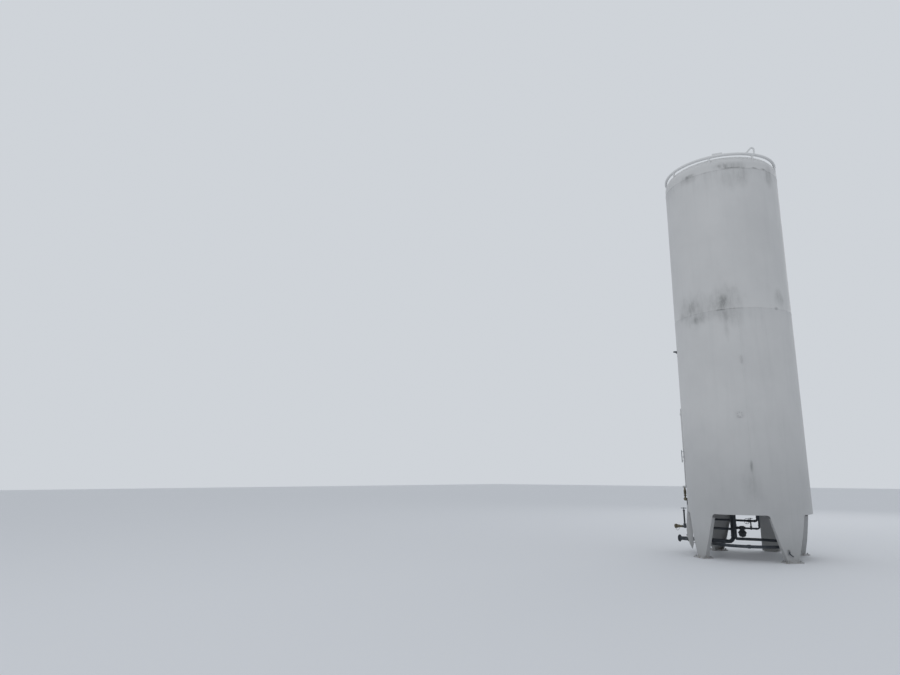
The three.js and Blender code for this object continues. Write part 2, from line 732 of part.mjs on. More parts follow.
function addVent() {
  const bar = rod(reliefPlace(-HEADER_HALF, RELIEF_LEVEL), reliefPlace(HEADER_HALF, RELIEF_LEVEL),
    HEADER_RADIUS, SIDES_FITTING);
  const riser = rod(reliefPlace(0, RELIEF_LEVEL), reliefPlace(0, VENT_TOP), VENT_RADIUS, SIDES_FITTING);
  const bore = rod(reliefPlace(0, VENT_TOP - VENT_BORE_DEPTH), reliefPlace(0, VENT_TOP + WELD_OVERLAP),
    GAS_PIPE, SIDES_FITTING);
  add("vent_pipe", geometryOf(fuse(bar, riser).subtract(solidOf(bore))), whitePaint);
  bracket("vent_bracket_lower", reliefPlace(0, 0), LOWER_BRACKET, VENT_RADIUS);
  bracket("vent_bracket_upper", reliefPlace(0, 0), UPPER_BRACKET, VENT_RADIUS);
}

// Level tapping: a nipple above the middle and a thin tube that runs down to the gauges

const TAP_ANGLE = -66;
const TUBE_ANGLE = -80;
const TUBE_END_ANGLE = -107;
const TUBE_LOW_LEVEL = 990;
const TUBE_BEND = 24;
const TAP_REACH = 40;
const NIPPLE_RADIUS = 16;
const NIPPLE_REACH = 74;
const GAUGE_LEVEL = 1560;
const GAUGE_ANGLE = -112;

function addTappingLine() {
  const outer = JACKET_RADIUS + TAP_REACH;
  const tube = pipe([
    around(TAP_ANGLE, outer, TAP_LEVEL),
    around(TUBE_ANGLE, outer, TAP_LEVEL),
    around(TUBE_ANGLE, outer, TUBE_LOW_LEVEL),
    around((TUBE_ANGLE + TUBE_END_ANGLE) / 2, outer, TUBE_LOW_LEVEL),
    around(TUBE_END_ANGLE, outer, TUBE_LOW_LEVEL),
    around(TUBE_END_ANGLE, outer, GAUGE_LEVEL),
  ], THIN_PIPE, TUBE_BEND);
  const nipple = rod(around(TAP_ANGLE, JACKET_RADIUS - WELD_OVERLAP, TAP_LEVEL),
    around(TAP_ANGLE, JACKET_RADIUS + NIPPLE_REACH, TAP_LEVEL), NIPPLE_RADIUS);
  add("tapping_line", geometryOf(fuse(tube, nipple).subtract(jacketCutter())), pipePaint);
}

// Gauges: a panel on stand-offs round the left side, with a level gauge and a pressure gauge

const PANEL_OUT = 76;
const PANEL_WIDTH = 340;
const PANEL_HEIGHT = 280;
const PANEL_THICKNESS = 6;
const STUD_ACROSS = 140;
const STUD_RISE = 105;
const STUD_RADIUS = 8;
const STUD_ROOT = JACKET_RADIUS - 50;
const GAUGE_DEPTH = 42;
const GAUGE_RISE = 10;
const GAUGES = { level_gauge: { across: -62, radius: 75 }, pressure_gauge: { across: 94, radius: 50 } };

function addGauges() {
  const face = JACKET_RADIUS + PANEL_OUT;
  const place = (across, radius, rise) => around(GAUGE_ANGLE, radius, GAUGE_LEVEL + rise)
    .add(around(GAUGE_ANGLE + 90, across, 0));
  const panel = block(PANEL_WIDTH, PANEL_THICKNESS, PANEL_HEIGHT, place(0, face, 0), GAUGE_ANGLE);
  const studs = [-STUD_ACROSS, STUD_ACROSS].flatMap((across) => [-STUD_RISE, STUD_RISE].map((rise) =>
    rod(place(across, STUD_ROOT, rise), place(across, face, rise), STUD_RADIUS, 8)));
  add("gauge_plate", geometryOf(fuse(panel, ...studs).subtract(jacketCutter())), platePaint);
  const back = face + PANEL_THICKNESS / 2 + GAP;
  for (const [name, { across, radius }] of Object.entries(GAUGES)) {
    const gauge = rod(place(across, back, GAUGE_RISE), place(across, back + GAUGE_DEPTH, GAUGE_RISE),
      radius, SIDES_DISC);
    add(name, gauge, bareSteel);
  }
}

// Rating plate: a blank plate on a shallow bracket at the left side

const BLANK_ANGLE = -66.5;
const BLANK_LEVEL = 1935;
const BLANK_WIDTH = 160;
const BLANK_HEIGHT = 250;
const BLANK_THICKNESS = 8;
const BLANK_OUT = 52;
const WEB_INSET = 30;

function addRatingPlate() {
  const place = (radius, rise) => around(BLANK_ANGLE, radius, BLANK_LEVEL + rise);
  const plate = block(BLANK_WIDTH, BLANK_THICKNESS, BLANK_HEIGHT, place(JACKET_RADIUS + BLANK_OUT, 0),
    BLANK_ANGLE);
  const webDepth = BLANK_OUT + WELD_OVERLAP;
  const webs = [-1, 1].map((side) => block(BLANK_WIDTH - WEB_INSET, webDepth, BLANK_THICKNESS,
    place(JACKET_RADIUS + BLANK_OUT - webDepth / 2, side * (BLANK_HEIGHT / 2 - WEB_INSET)), BLANK_ANGLE));
  add("rating_plate", geometryOf(fuse(plate, ...webs).subtract(jacketCutter())), platePaint);
}

// Pipe support: a plate that hangs from the jacket's edge at the left, with two arms under the pipes.
// Its corners are given as the distance outside the jacket and the height.

const SUPPORT_ANGLE = -66;
const SUPPORT_PLATE = 12;
const SUPPORT_OUTLINE = [[-60, 190], [-30, 90], [15, 190], [52, 330], [60, 480], [42, 700], [20, 860],
  [16, 960], [-60, 960]];
const ARM_X = -1020;
const ARM_WIDTH = 40;
const ARM_THICKNESS = 10;

function supportArm(pipeY, pipeRadius, level) {
  const reach = ARM_X / Math.sin(SUPPORT_ANGLE * DEGREE);
  const root = -reach * Math.cos(SUPPORT_ANGLE * DEGREE);
  const end = pipeY + pipeRadius * 2;
  const height = level - pipeRadius - GAP - ARM_THICKNESS / 2;
  return solidOf(block(ARM_WIDTH, end - root, ARM_THICKNESS, at(ARM_X, (root + end) / 2, height)));
}

function addPipeSupport() {
  const corners = SUPPORT_OUTLINE.map(([out, height]) => new THREE.Vector2(JACKET_RADIUS + out, height));
  const shape = new THREE.Shape(corners);
  const geometry = new THREE.ExtrudeGeometry(shape, { depth: SUPPORT_PLATE, bevelEnabled: false });
  geometry.rotateX(Math.PI / 2);
  geometry.rotateZ((SUPPORT_ANGLE - 90) * DEGREE);
  const support = solidOf(geometry)
    .add(supportArm(FILL_Y, FILL_PIPE, FILL_LEVEL))
    .add(supportArm(LIQUID_Y, LIQUID_PIPE, LIQUID_LEVEL));
  const jacket = jacketCutter(JACKET_BOTTOM - GAP);
  add("pipe_support", geometryOf(support.subtract(jacket)), whitePaint);
}

// Pressure building circuit under the tank: coil, return, regulator, valve and gas line

const BUILD_UP_Y = -110;
const BUILD_UP_RIGHT = 230;
const BUILD_UP_VALVE_X = 70;
const BUILD_UP_NECK = 190;
const REGULATOR_X = -110;
const REGULATOR_HALF = 62;
const REGULATOR_BODY = 30;
const REGULATOR_PROFILE = [[0, 355], [38, 362], [66, 392], [66, 430], [80, 430], [80, 448], [66, 448],
  [66, 470], [40, 490], [40, 570], [0, 570]];
const RETURN_X = -250;
const RETURN_REACH = 150;
const RETURN_BEND = 44;

function addCoil() {
  const run = new ArcRun(COIL_RADIUS, COIL_LEVEL, COIL_START, COIL_END, COIL_STEPS);
  const liquidPipe = rod(at(LIQUID_DROP_X, LIQUID_Y, LIQUID_LEVEL), at(STACK_X, LIQUID_Y, LIQUID_LEVEL),
    LIQUID_PIPE + GAP * 2, SIDES_DISC);
  const coil = solidOf(pipeAlong(run, COIL_PIPE)).subtract(solidOf(liquidPipe));
  add("pressure_coil", geometryOf(coil), pipePaint);
  const end = around(COIL_END, COIL_RADIUS, COIL_LEVEL);
  const ahead = around(COIL_END + 90, 1, 0);
  const back = pipe([
    end.clone().addScaledVector(ahead, GAP),
    end.clone().addScaledVector(ahead, RETURN_REACH),
    at(RETURN_X, BUILD_UP_Y, COIL_RETURN_LEVEL),
    at(RETURN_X, BUILD_UP_Y, BUILD_UP_LEVEL),
    at(REGULATOR_X - REGULATOR_HALF - GAP, BUILD_UP_Y, BUILD_UP_LEVEL),
  ], COIL_PIPE, RETURN_BEND);
  add("coil_return", back, pipePaint);
}

function addBuildUp() {
  const half = SMALL_PIPE * VALVE.half;
  const level = (x) => at(x, BUILD_UP_Y, BUILD_UP_LEVEL);
  const regulator = fuse(
    rod(level(REGULATOR_X - REGULATOR_HALF), level(REGULATOR_X + REGULATOR_HALF), REGULATOR_BODY,
      SIDES_FITTING),
    rod(level(REGULATOR_X), level(BUILD_UP_VALVE_X - half - GAP), SMALL_PIPE),
    turned(REGULATOR_PROFILE, 16).translate(REGULATOR_X, BUILD_UP_Y, 0),
  );
  add("regulator", geometryOf(regulator), pipePaint);
  const body = valve(level(BUILD_UP_VALVE_X), SMALL_PIPE, BUILD_UP_NECK);
  add("build_up_valve", geometryOf(body), pipePaint);
  const line = pipe([
    at(BUILD_UP_RIGHT, BUILD_UP_Y, DROP_TOP),
    level(BUILD_UP_RIGHT),
    level(BUILD_UP_VALVE_X + half + GAP),
  ], SMALL_PIPE);
  add("build_up_line", underHead(line), pipePaint);
}

// Earthing lug at the edge of the right-hand leg, with the end of its conductor

const EARTH_ANGLE = 55.5;
const EARTH_LEVEL = 190;
const EARTH_PLATE = { width: 34, depth: 16, height: 90 };
const EARTH_BOLT = { radius: 13, reach: 40, rise: 18 };
const EARTH_TAIL = { radius: 9, out: 28, drop: 25, end: 75, turn: 3.2, bend: 20 };

function addEarthLug() {
  const face = JACKET_RADIUS + GAP;
  const place = (out, rise, turn = 0) => around(EARTH_ANGLE + turn, face + out, EARTH_LEVEL + rise);
  const plate = block(EARTH_PLATE.width, EARTH_PLATE.depth, EARTH_PLATE.height,
    place(EARTH_PLATE.depth / 4, 0), EARTH_ANGLE);
  const bolt = rod(place(0, EARTH_BOLT.rise), place(EARTH_BOLT.reach, EARTH_BOLT.rise), EARTH_BOLT.radius,
    SIDES_NUT);
  const tail = pipe([
    place(EARTH_TAIL.out, EARTH_BOLT.rise),
    place(EARTH_TAIL.out, -EARTH_TAIL.drop),
    place(EARTH_TAIL.out, -EARTH_TAIL.end, EARTH_TAIL.turn),
  ], EARTH_TAIL.radius, EARTH_TAIL.bend);
  add("earth_lug", geometryOf(fuse(plate, bolt, tail).subtract(jacketCutter())), bareSteel);
}

addJacket();
for (const [side, angle] of Object.entries(LEG_ANGLES)) {
  addLeg(side, angle);
  addFoot(side, angle);
}
addRearPlate();
addTopRing();
for (const [side, angle] of Object.entries(LOOP_ANGLES)) addLiftingLoop(side, angle);
addRingClip();
addVacuumRelief();
addJacketFittings();
addLiquidLine();
addFillLine();
addGasLine();
addReliefGroup();
addVent();
addTappingLine();
addGauges();
addRatingPlate();
addPipeSupport();
addCoil();
addBuildUp();
addEarthLug();

// The origin is the middle of the footprint, on the ground

const middle = new THREE.Box3().setFromObject(tank, true).getCenter(new THREE.Vector3());
for (const mesh of tank.children) mesh.geometry.translate(-middle.x, -middle.y, 0);

export default tank;
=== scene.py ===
# %% [markdown]
# # A vertical cryogenic gas tank, dressed in Blender
#
# The solids of the tank arrive as a fixed frame, in metres, with +Z up and the ground at Z = 0.
# This lesson adds what a solid model leaves out: smooth round plates, weld seams, bolts, gauge
# faces, weathered paint, a pale floor, soft light and a camera.

import json
import math

import bmesh
import bpy
from mathutils import Matrix, Vector


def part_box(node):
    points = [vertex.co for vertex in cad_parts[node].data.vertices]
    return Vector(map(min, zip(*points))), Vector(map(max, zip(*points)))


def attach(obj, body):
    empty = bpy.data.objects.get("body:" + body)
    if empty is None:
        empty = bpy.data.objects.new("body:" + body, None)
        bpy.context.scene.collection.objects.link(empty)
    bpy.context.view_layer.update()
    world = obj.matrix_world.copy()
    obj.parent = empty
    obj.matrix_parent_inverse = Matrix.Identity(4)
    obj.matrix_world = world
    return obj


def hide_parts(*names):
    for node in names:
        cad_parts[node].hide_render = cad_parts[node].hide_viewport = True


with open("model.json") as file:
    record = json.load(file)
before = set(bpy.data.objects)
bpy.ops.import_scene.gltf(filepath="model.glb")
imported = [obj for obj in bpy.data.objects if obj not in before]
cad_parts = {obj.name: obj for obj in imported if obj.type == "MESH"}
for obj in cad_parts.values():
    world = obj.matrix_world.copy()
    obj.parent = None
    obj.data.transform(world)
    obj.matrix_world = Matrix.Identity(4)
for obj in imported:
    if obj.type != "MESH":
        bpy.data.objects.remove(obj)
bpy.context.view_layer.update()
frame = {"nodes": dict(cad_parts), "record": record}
nodes = frame["nodes"]
print(len(nodes), "solid pieces loaded")

# %% [markdown]
# ## Where things are
#
# Nearly every piece of a tank sits round its axis, so a place is easiest to say as an angle, a
# radius and a height. Angle 0 is the front (-Y) and 90 is the right (+X). The axis itself is read
# from the round shell, because the frame's origin is the middle of the footprint.

# %% Places round the tank axis
shell_low, shell_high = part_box("shell_lower")
AXIS = Vector(((shell_low.x + shell_high.x) / 2, (shell_low.y + shell_high.y) / 2, 0))
JACKET_RADIUS = (shell_high.x - shell_low.x) / 2
JACKET_WALL = 0.008
JACKET_BOTTOM = shell_low.z
MIDDLE_WELD = shell_high.z
ROOF_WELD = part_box("shell_upper")[1].z


def around(angle, radius, height):
    turn = math.radians(angle)
    return AXIS + Vector((radius * math.sin(turn), -radius * math.cos(turn), height))


def beside(x, y, z):
    return AXIS + Vector((x, y, z))


print("axis", tuple(round(v, 4) for v in AXIS), "radius", round(JACKET_RADIUS, 3))

# %% [markdown]
# ## Camera
#
# The picture was taken at eye level, in front of the tank and a little to its right, with a wide
# lens tipped up. The same wide lens and tilt make the sides lean together towards the top.

# %% Camera at eye level
CAMERA_SIDE = 23.0
CAMERA_DISTANCE = 14.73
CAMERA_HEIGHT = 1.54
CAMERA_HEADING = 46.65
CAMERA_PITCH = 11.82
SENSOR_WIDTH = 36
LENS_SHARE = 660 / 900

eye = around(CAMERA_SIDE, CAMERA_DISTANCE, CAMERA_HEIGHT)
bpy.ops.object.camera_add(location=eye, rotation=(
    math.radians(90 + CAMERA_PITCH), 0, math.radians(CAMERA_HEADING)))
camera = bpy.context.object
camera.name = "eye_level_camera"
camera.data.sensor_width = SENSOR_WIDTH
camera.data.lens = SENSOR_WIDTH * LENS_SHARE
camera.data.clip_end = 200
bpy.context.scene.camera = camera
print("lens", round(camera.data.lens, 1), "mm")

# %% [markdown]
# ## Floor and light
#
# An overcast sky lights a tank evenly from all sides. A pale world colour does the same here, and
# two large soft lamps give the round shell its gentle change from light to dark.

# %% Pale floor
FLOOR_SIZE = 160

bpy.ops.object.select_all(action="DESELECT")
bpy.ops.mesh.primitive_plane_add(size=FLOOR_SIZE, location=(0, 0, 0))
floor = bpy.context.object
floor.name = "pale_floor"
floor_paint = bpy.data.materials.new("floor_paint")
floor_paint.use_nodes = True
floor_surface = floor_paint.node_tree.nodes["Principled BSDF"]
floor_surface.inputs["Base Color"].default_value = (0.72, 0.73, 0.75, 1)
floor_surface.inputs["Roughness"].default_value = 0.9
floor.data.materials.append(floor_paint)

# %% Soft sky and two soft lamps
world = bpy.data.worlds.new("soft_sky")
world.use_nodes = True
sky = world.node_tree.nodes["Background"]
sky.inputs["Color"].default_value = (0.80, 0.84, 0.89, 1)
sky.inputs["Strength"].default_value = 0.78
bpy.context.scene.world = world
bpy.context.scene.view_settings.view_transform = "Standard"

LAMP_DISTANCE = 16
LAMP_HEIGHT = 12
LAMP_SIZE = 10
LAMP_AIM = 4.0


def soft_lamp(name, angle, power):
    place = around(angle, LAMP_DISTANCE, LAMP_HEIGHT)
    aim = (around(0, 0, LAMP_AIM) - place).to_track_quat("-Z", "Y")
    bpy.ops.object.light_add(type="AREA", location=place, rotation=aim.to_euler())
    lamp = bpy.context.object
    lamp.name = name
    lamp.data.size = LAMP_SIZE
    lamp.data.energy = power
    print(name, "at", tuple(round(v, 1) for v in place))


soft_lamp("key_lamp", 5, 260)
soft_lamp("back_lamp", 190, 320)

# %% [markdown]
# ## Shader maths as Python
#
# Paint on a big round shell changes with height and with the way round it. Written out node by
# node that is hard to follow, so a small class wraps each number socket, and an expression such
# as `1 - dirt * streaks` adds the Math nodes for itself.


# %% Numbers that vary over a surface
class Amount:
    """One number at each point of a surface."""

    def __init__(self, finish, socket):
        self.finish = finish
        self.socket = socket

    def math(self, operation, first, second=None):
        sockets = {0: first} if second is None else {0: first, 1: second}
        return self.finish.node("ShaderNodeMath", {"operation": operation}, sockets)

    def __add__(self, other):
        return self.math("ADD", self, other)

    __radd__ = __add__

    def __sub__(self, other):
        return self.math("SUBTRACT", self, other)

    def __rsub__(self, other):
        return self.math("SUBTRACT", other, self)

    def __mul__(self, other):
        return self.math("MULTIPLY", self, other)

    __rmul__ = __mul__

    def __truediv__(self, other):
        return self.math("DIVIDE", self, other)

    def __rtruediv__(self, other):
        return self.math("DIVIDE", other, self)

    def __neg__(self):
        return self.math("MULTIPLY", self, -1)

    def __abs__(self):
        return self.math("ABSOLUTE", self)

    def larger(self, other):
        return self.math("MAXIMUM", self, other)

    def smaller(self, other):
        return self.math("MINIMUM", self, other)

    def between(self, low, high):
        """0 below low, 1 above high, smooth in between; low may be the larger."""
        return self.finish.node(
            "ShaderNodeMapRange",
            {"interpolation_type": "SMOOTHSTEP"},
            {"Value": self, "From Min": low, "From Max": high, "To Min": 0.0, "To Max": 1.0},
        )


# %% [markdown]
# A finish is a material under construction. It knows one way to add any node: the type, then its
# settings, then what goes into its sockets. Everything else here is built on that. The Mix node has
# sockets of the same names for numbers and for colours, so those are given by their places.

# %% A finish for a piece
MIX_SHARE, MIX_FIRST, MIX_SECOND = 0, 6, 7
MIX_COLOUR = 2


class Finish:
    """A Principled material with helpers for the patterns that paint and metal need."""

    def __init__(self, name, roughness, metallic=0.0):
        self.material = bpy.data.materials.new(name)
        self.material.use_nodes = True
        self.tree = self.material.node_tree
        self.surface = self.tree.nodes["Principled BSDF"]
        self.surface.inputs["Roughness"].default_value = roughness
        self.surface.inputs["Metallic"].default_value = metallic
        self.place = self.node("ShaderNodeTexCoord", {}, {}, "Object").socket

    def node(self, kind, settings, sockets, output=0):
        made = self.tree.nodes.new(kind)
        for name, value in settings.items():
            setattr(made, name, value)
        for name, value in sockets.items():
            if isinstance(value, Amount):
                value = value.socket
            if isinstance(value, bpy.types.NodeSocket):
                self.tree.links.new(value, made.inputs[name])
            else:
                made.inputs[name].default_value = value
        return Amount(self, made.outputs[output])

    def split(self):
        """The place on the piece as x and y from the tank axis, and the height."""
        x, y, height = (self.node("ShaderNodeSeparateXYZ", {}, {"Vector": self.place}, k)
                        for k in range(3))
        return x - AXIS.x, y - AXIS.y, height

    def noise(self, scale, detail, roughness, stretch=None):
        vector = self.place
        if stretch:
            vector = self.node("ShaderNodeMapping", {}, {"Vector": vector, "Scale": stretch})
        return self.node("ShaderNodeTexNoise", {}, {"Vector": vector, "Scale": scale,
                                                    "Detail": detail, "Roughness": roughness})

    def mix(self, share, first, second):
        """A colour: first where share is 0, second where it is 1."""
        return self.node("ShaderNodeMix", {"data_type": "RGBA"},
                         {MIX_SHARE: share, MIX_FIRST: first, MIX_SECOND: second}, MIX_COLOUR)

    def paint(self, colour, roughness, bump, distance):
        raised = self.node("ShaderNodeBump", {},
                           {"Strength": 1.0, "Distance": distance, "Height": bump}, "Normal")
        for name, amount in (("Base Color", colour), ("Roughness", roughness), ("Normal", raised)):
            self.tree.links.new(amount.socket, self.surface.inputs[name])
        print(self.material.name, "has", len(self.tree.nodes), "nodes")
        return self.material


# %% [markdown]
# ## Tank paint
#
# The jacket is off-white satin paint that has stood outdoors for years. The roof and the rim under
# the ring are painted paler, as painted light from the sky above. Dirt hangs under the two round
# welds and runs down in streaks, and a few spots are much darker than the rest. The lower part is
# darker towards the ground as painted shade, with fine noise close to the ground. An image could
# hold all this, but a pattern made from height and angle stays sharp at any size. The streaks come
# from noise that is stretched in height, so that each one is long and narrow.

# %% Colours of the paint, its dirt, and its painted light and shade
CLEAN_PAINT = (0.612, 0.610, 0.606, 1)
# Duller paint for random patches, also used for painted shade on the lower tank
DULL_AND_SHADED_PAINT = (0.445, 0.448, 0.450, 1)
# Grey of the dirt at the welds, also used for the painted shade close to the ground
GREY_DIRT_AND_SHADE = (0.200, 0.205, 0.200, 1)
BLACK_DIRT = (0.050, 0.054, 0.050, 1)
# Painted light: the paler paint of the roof and the rim under the ring, as lit by the sky above
SKY_LIT_PAINT = (0.760, 0.762, 0.760, 1)
RUST = (0.150, 0.080, 0.045, 1)

# Marks of dirt: angle, height, half width in degrees, half height in metres, strength
DIRT_MARKS = [
    # round the roof weld, on the side that the camera sees
    (34, 7.7, 18, 0.12, 0.34),
    (35, 7.65, 15, 0.022, 0.55),
    (24.5, 7.7, 2.6, 0.065, 0.42),
    (29.5, 7.7, 2.4, 0.08, 0.36),
    (46, 7.45, 9, 0.32, 0.2),
    (34, 7.4, 16, 0.33, 0.16),
    (60, 7.645, 5, 0.024, 0.7),
    (72, 7.655, 6, 0.028, 0.7),
    (80, 7.48, 9, 0.32, 0.34),
    (-8, 7.665, 7.5, 0.06, 0.46),
    (-10, 7.6, 16, 0.15, 0.28),
    # round the middle weld, on the same side
    (17.4, 4.9, 5.4, 0.21, 0.27),
    (15, 4.83, 6.5, 0.21, 0.2),
    (18.5, 4.9, 20, 0.52, 0.32),
    (8, 4.76, 9, 0.2, 0.17),
    (13, 4.72, 7, 0.018, 0.4),
    (24, 4.724, 11, 0.014, 0.32),
    (15, 4.6, 13, 0.16, 0.2),
    (17.8, 4.33, 3.6, 0.36, 0.16),
    (26, 4.48, 10, 0.22, 0.12),
    (-15, 4.83, 28, 0.46, 0.31),
    (-18.5, 4.85, 8.5, 0.19, 0.17),
    (-12, 4.59, 8, 0.1, 0.36),
    (-32, 4.74, 8, 0.12, 0.2),
    (-3, 4.62, 10, 0.13, 0.16),
    (70, 4.722, 4, 0.045, 0.5),
    (76, 4.93, 10, 0.24, 0.32),
    # low down, round the upright seam
    (29.3, 1.69, 2, 0.15, 0.42),
    (28.5, 1.4, 12, 0.48, 0.18),
    # round both welds, at the back
    (-118, 7.655, 12, 0.03, 0.6),
    (-112, 7.45, 10, 0.28, 0.22),
    (-158, 4.8, 10, 0.26, 0.32),
    (128, 7.64, 14, 0.06, 0.5),
    (150, 4.74, 11, 0.1, 0.4),
    (150, 4.4, 8, 0.36, 0.2),
]


# %% Dirt as a pattern on the round shell
# Heights above a weld: streaks are nothing at the first and whole at the second
WELD_EDGE = (0.012, 0.004)


def way_round(finish):
    """The angle round the tank in degrees, and the height."""
    x, y, height = finish.split()
    turn = finish.node("ShaderNodeMath", {"operation": "ARCTAN2"}, {0: x, 1: -y})
    return turn * (180 / math.pi), height


def dirt_mark(angle, height, mark, ragged):
    """Darkest in its middle and fading to nothing; ragged noise keeps its edge from being round."""
    at_angle, at_height, half_width, half_height, strength = mark
    across = (angle - at_angle) / half_width + ragged[0]
    up = (height - at_height) / half_height + ragged[1]
    share = (1 - (across * across + up * up)).larger(0.0)
    return share * share * strength


def drips(height, weld, length, streaks):
    """Streaks that start on a weld and fade out over a length below it."""
    outer, inner = WELD_EDGE
    return (height.between(weld - length, weld) * height.between(weld + outer, weld + inner)
            * streaks)


# %% Weathered white paint
# Each of these grows from nothing at its first height to its full strength at its second
# Painted light: the roof turns paler here, standing in for sky light from above
SKY_LIT_ROOF = (7.74, 7.96)
# Painted shade: the paint grows darker towards the ground below these heights
LOW_SHADE_HEIGHTS = (3.0, 0.9)
# Painted shade close to the ground, broken by fine noise
GROUND_SHADE_HEIGHTS = (0.7, 0.0)
RUSTY = (0.09, 0.0)

# How far dirt runs down below each weld
ROOF_DRIP = 0.45
MIDDLE_DRIP = 0.60
RAGGED_SCALES = (4.3, 5.1)


def seam_dirt(height, weld, half, least, streaks):
    """The dark line of dirt that a weld bead holds."""
    return abs(height - weld).between(half, 0.002) * (least + streaks)


def black_marks(finish, angle, height):
    """How black each place is: all the marks together, with broken noise over them."""
    ragged = [(finish.noise(scale, 4.0, 0.6, (1, 1, 0.6)) - 0.5) * 1.1 for scale in RAGGED_SCALES]
    broken = 0.45 + finish.noise(16.0, 4.0, 0.7, (1, 1, 0.3)).between(0.30, 0.70) * 0.55
    marks = sum(dirt_mark(angle, height, mark, ragged) for mark in DIRT_MARKS)
    return (marks * broken).smaller(0.8)


def weathered_paint(name, marked):
    """White paint with weather, painted sky light on top and painted shade low down, and either black
    marks or rust close to the ground.
    """
    finish = Finish(name, 0.5)
    angle, height = way_round(finish)
    cloud = finish.noise(0.9, 4.0, 0.6)
    fine = finish.noise(38.0, 4.0, 0.65)
    streak = finish.noise(7.0, 4.0, 0.6, (1, 1, 0.09)).between(0.46, 0.74)
    thin_streak = finish.noise(26.0, 3.0, 0.6, (1, 1, 0.05)).between(0.50, 0.72)
    # Random duller patches and streaks, plus painted shade that grows towards the ground
    dull_and_low_shade = cloud.between(0.35, 0.75) * 0.22 + streak * 0.10 + height.between(*LOW_SHADE_HEIGHTS) * 0.80
    colour = finish.mix(dull_and_low_shade.smaller(1.3), CLEAN_PAINT, DULL_AND_SHADED_PAINT)
    # Painted light from the sky: the roof and the rim under the ring turn paler
    colour = finish.mix(height.between(*SKY_LIT_ROOF) * (0.78 - cloud * 0.3), colour, SKY_LIT_PAINT)
    roof_drips = drips(height, ROOF_WELD, ROOF_DRIP, streak * 0.6 + thin_streak * 0.4)
    middle_drips = drips(height, MIDDLE_WELD, MIDDLE_DRIP, streak * 0.4 + thin_streak * 0.2)
    seam = (seam_dirt(height, ROOF_WELD, 0.020, 0.10, streak * 0.3)
            + seam_dirt(height, MIDDLE_WELD, 0.014, 0.03, streak * 0.2))
    # Painted shade close to the ground, broken by fine noise, added to the real weld dirt below
    ground_shade = height.between(*GROUND_SHADE_HEIGHTS) * (0.12 + fine * 0.35)
    dirt_and_ground_shade = roof_drips * 0.22 + middle_drips * 0.14 + seam + ground_shade
    colour = finish.mix(dirt_and_ground_shade.smaller(1.0), colour, GREY_DIRT_AND_SHADE)
    if marked:
        colour = finish.mix(black_marks(finish, angle, height), colour, BLACK_DIRT)
    else:
        rust = height.between(*RUSTY) * finish.noise(22.0, 5.0, 0.7).between(0.48, 0.66)
        colour = finish.mix(rust * 0.6, colour, RUST)
    rough = 0.42 + cloud * 0.18 + dirt_and_ground_shade * 0.25
    bump = finish.noise(2.2, 2.0, 0.5) * 2.4 + fine * 0.10
    return finish.paint(colour, rough, bump, distance=0.0016)


jacket_paint = weathered_paint("jacket_paint", marked=True)
frame_paint = weathered_paint("frame_paint", marked=False)

# %% [markdown]
# ## Dark pipe paint, bare steel, brass and plates
#
# The pipes and valve bodies look nearly black under the tank. They are painted and dull, and paler
# in patches where the paint has worn. Brass and bare steel keep a little shine, broken up by fingers
# and weather. All of them are one pattern in other colours, so one function makes them.


# %% Other finishes
def worn_finish(name, clean, worn, roughness, metallic, scale):
    """A clean and a worn colour in patches, with a fine grain; scale is how small the patches are."""
    finish = Finish(name, roughness, metallic)
    wear = finish.noise(scale, 5.0, 0.65).between(0.40, 0.68)
    grain = finish.noise(scale * 9, 3.0, 0.6)
    colour = finish.mix(wear, (*clean, 1), (*worn, 1))
    rough = roughness + wear * 0.16 + grain * 0.08
    return finish.paint(colour, rough, grain, distance=0.0004)


pipe_paint = worn_finish("pipe_paint", (0.036, 0.044, 0.055), (0.066, 0.076, 0.090), 0.50, 0.0, 14)
valve_paint = worn_finish("valve_paint", (0.030, 0.036, 0.045), (0.095, 0.105, 0.115), 0.46, 0.0, 24)
bare_steel = worn_finish("bare_steel", (0.42, 0.43, 0.44), (0.24, 0.24, 0.23), 0.34, 0.9, 30)
dull_brass = worn_finish("dull_brass", (0.195, 0.172, 0.122), (0.090, 0.084, 0.070), 0.44, 0.8, 30)
pale_plate = worn_finish("pale_plate", (0.58, 0.60, 0.62), (0.47, 0.48, 0.48), 0.38, 0.4, 18)
wheel_paint = worn_finish("wheel_paint", (0.030, 0.050, 0.085), (0.075, 0.080, 0.085), 0.42, 0.0, 40)
dial_white = worn_finish("dial_white", (0.74, 0.74, 0.72), (0.60, 0.60, 0.57), 0.40, 0.0, 20)
dial_black = worn_finish("dial_black", (0.020, 0.020, 0.022), (0.045, 0.045, 0.045), 0.45, 0.0, 20)

# %% Finishes on the solid pieces
SLOT_FINISH = {
    "tank_paint": frame_paint,
    "pipe_paint": pipe_paint,
    "bare_steel": bare_steel,
    "brass": dull_brass,
    "plate": pale_plate,
}


def wear_finish(piece, material):
    piece.data.materials.clear()
    piece.data.materials.append(material)


for part in frame["record"]["subparts"]:
    wear_finish(nodes[part["node"]], SLOT_FINISH[part["material_slot"]])
for name in ("shell_lower", "shell_upper", "top_head", "bottom_head"):
    wear_finish(nodes[name], jacket_paint)

# %% [markdown]
# ## Modelling by hand, in code
#
# The pieces below are made as a modeller makes them with the mouse: add a simple shape, go into
# edit mode, pick faces, edges or corners, and extrude, scale, bevel or spin them. Here the picking
# is done by place, so that each step says which part of the piece it works on.


# %% Open a piece and pick parts of it
def only(piece):
    bpy.ops.object.select_all(action="DESELECT")
    piece.select_set(True)
    bpy.context.view_layer.objects.active = piece


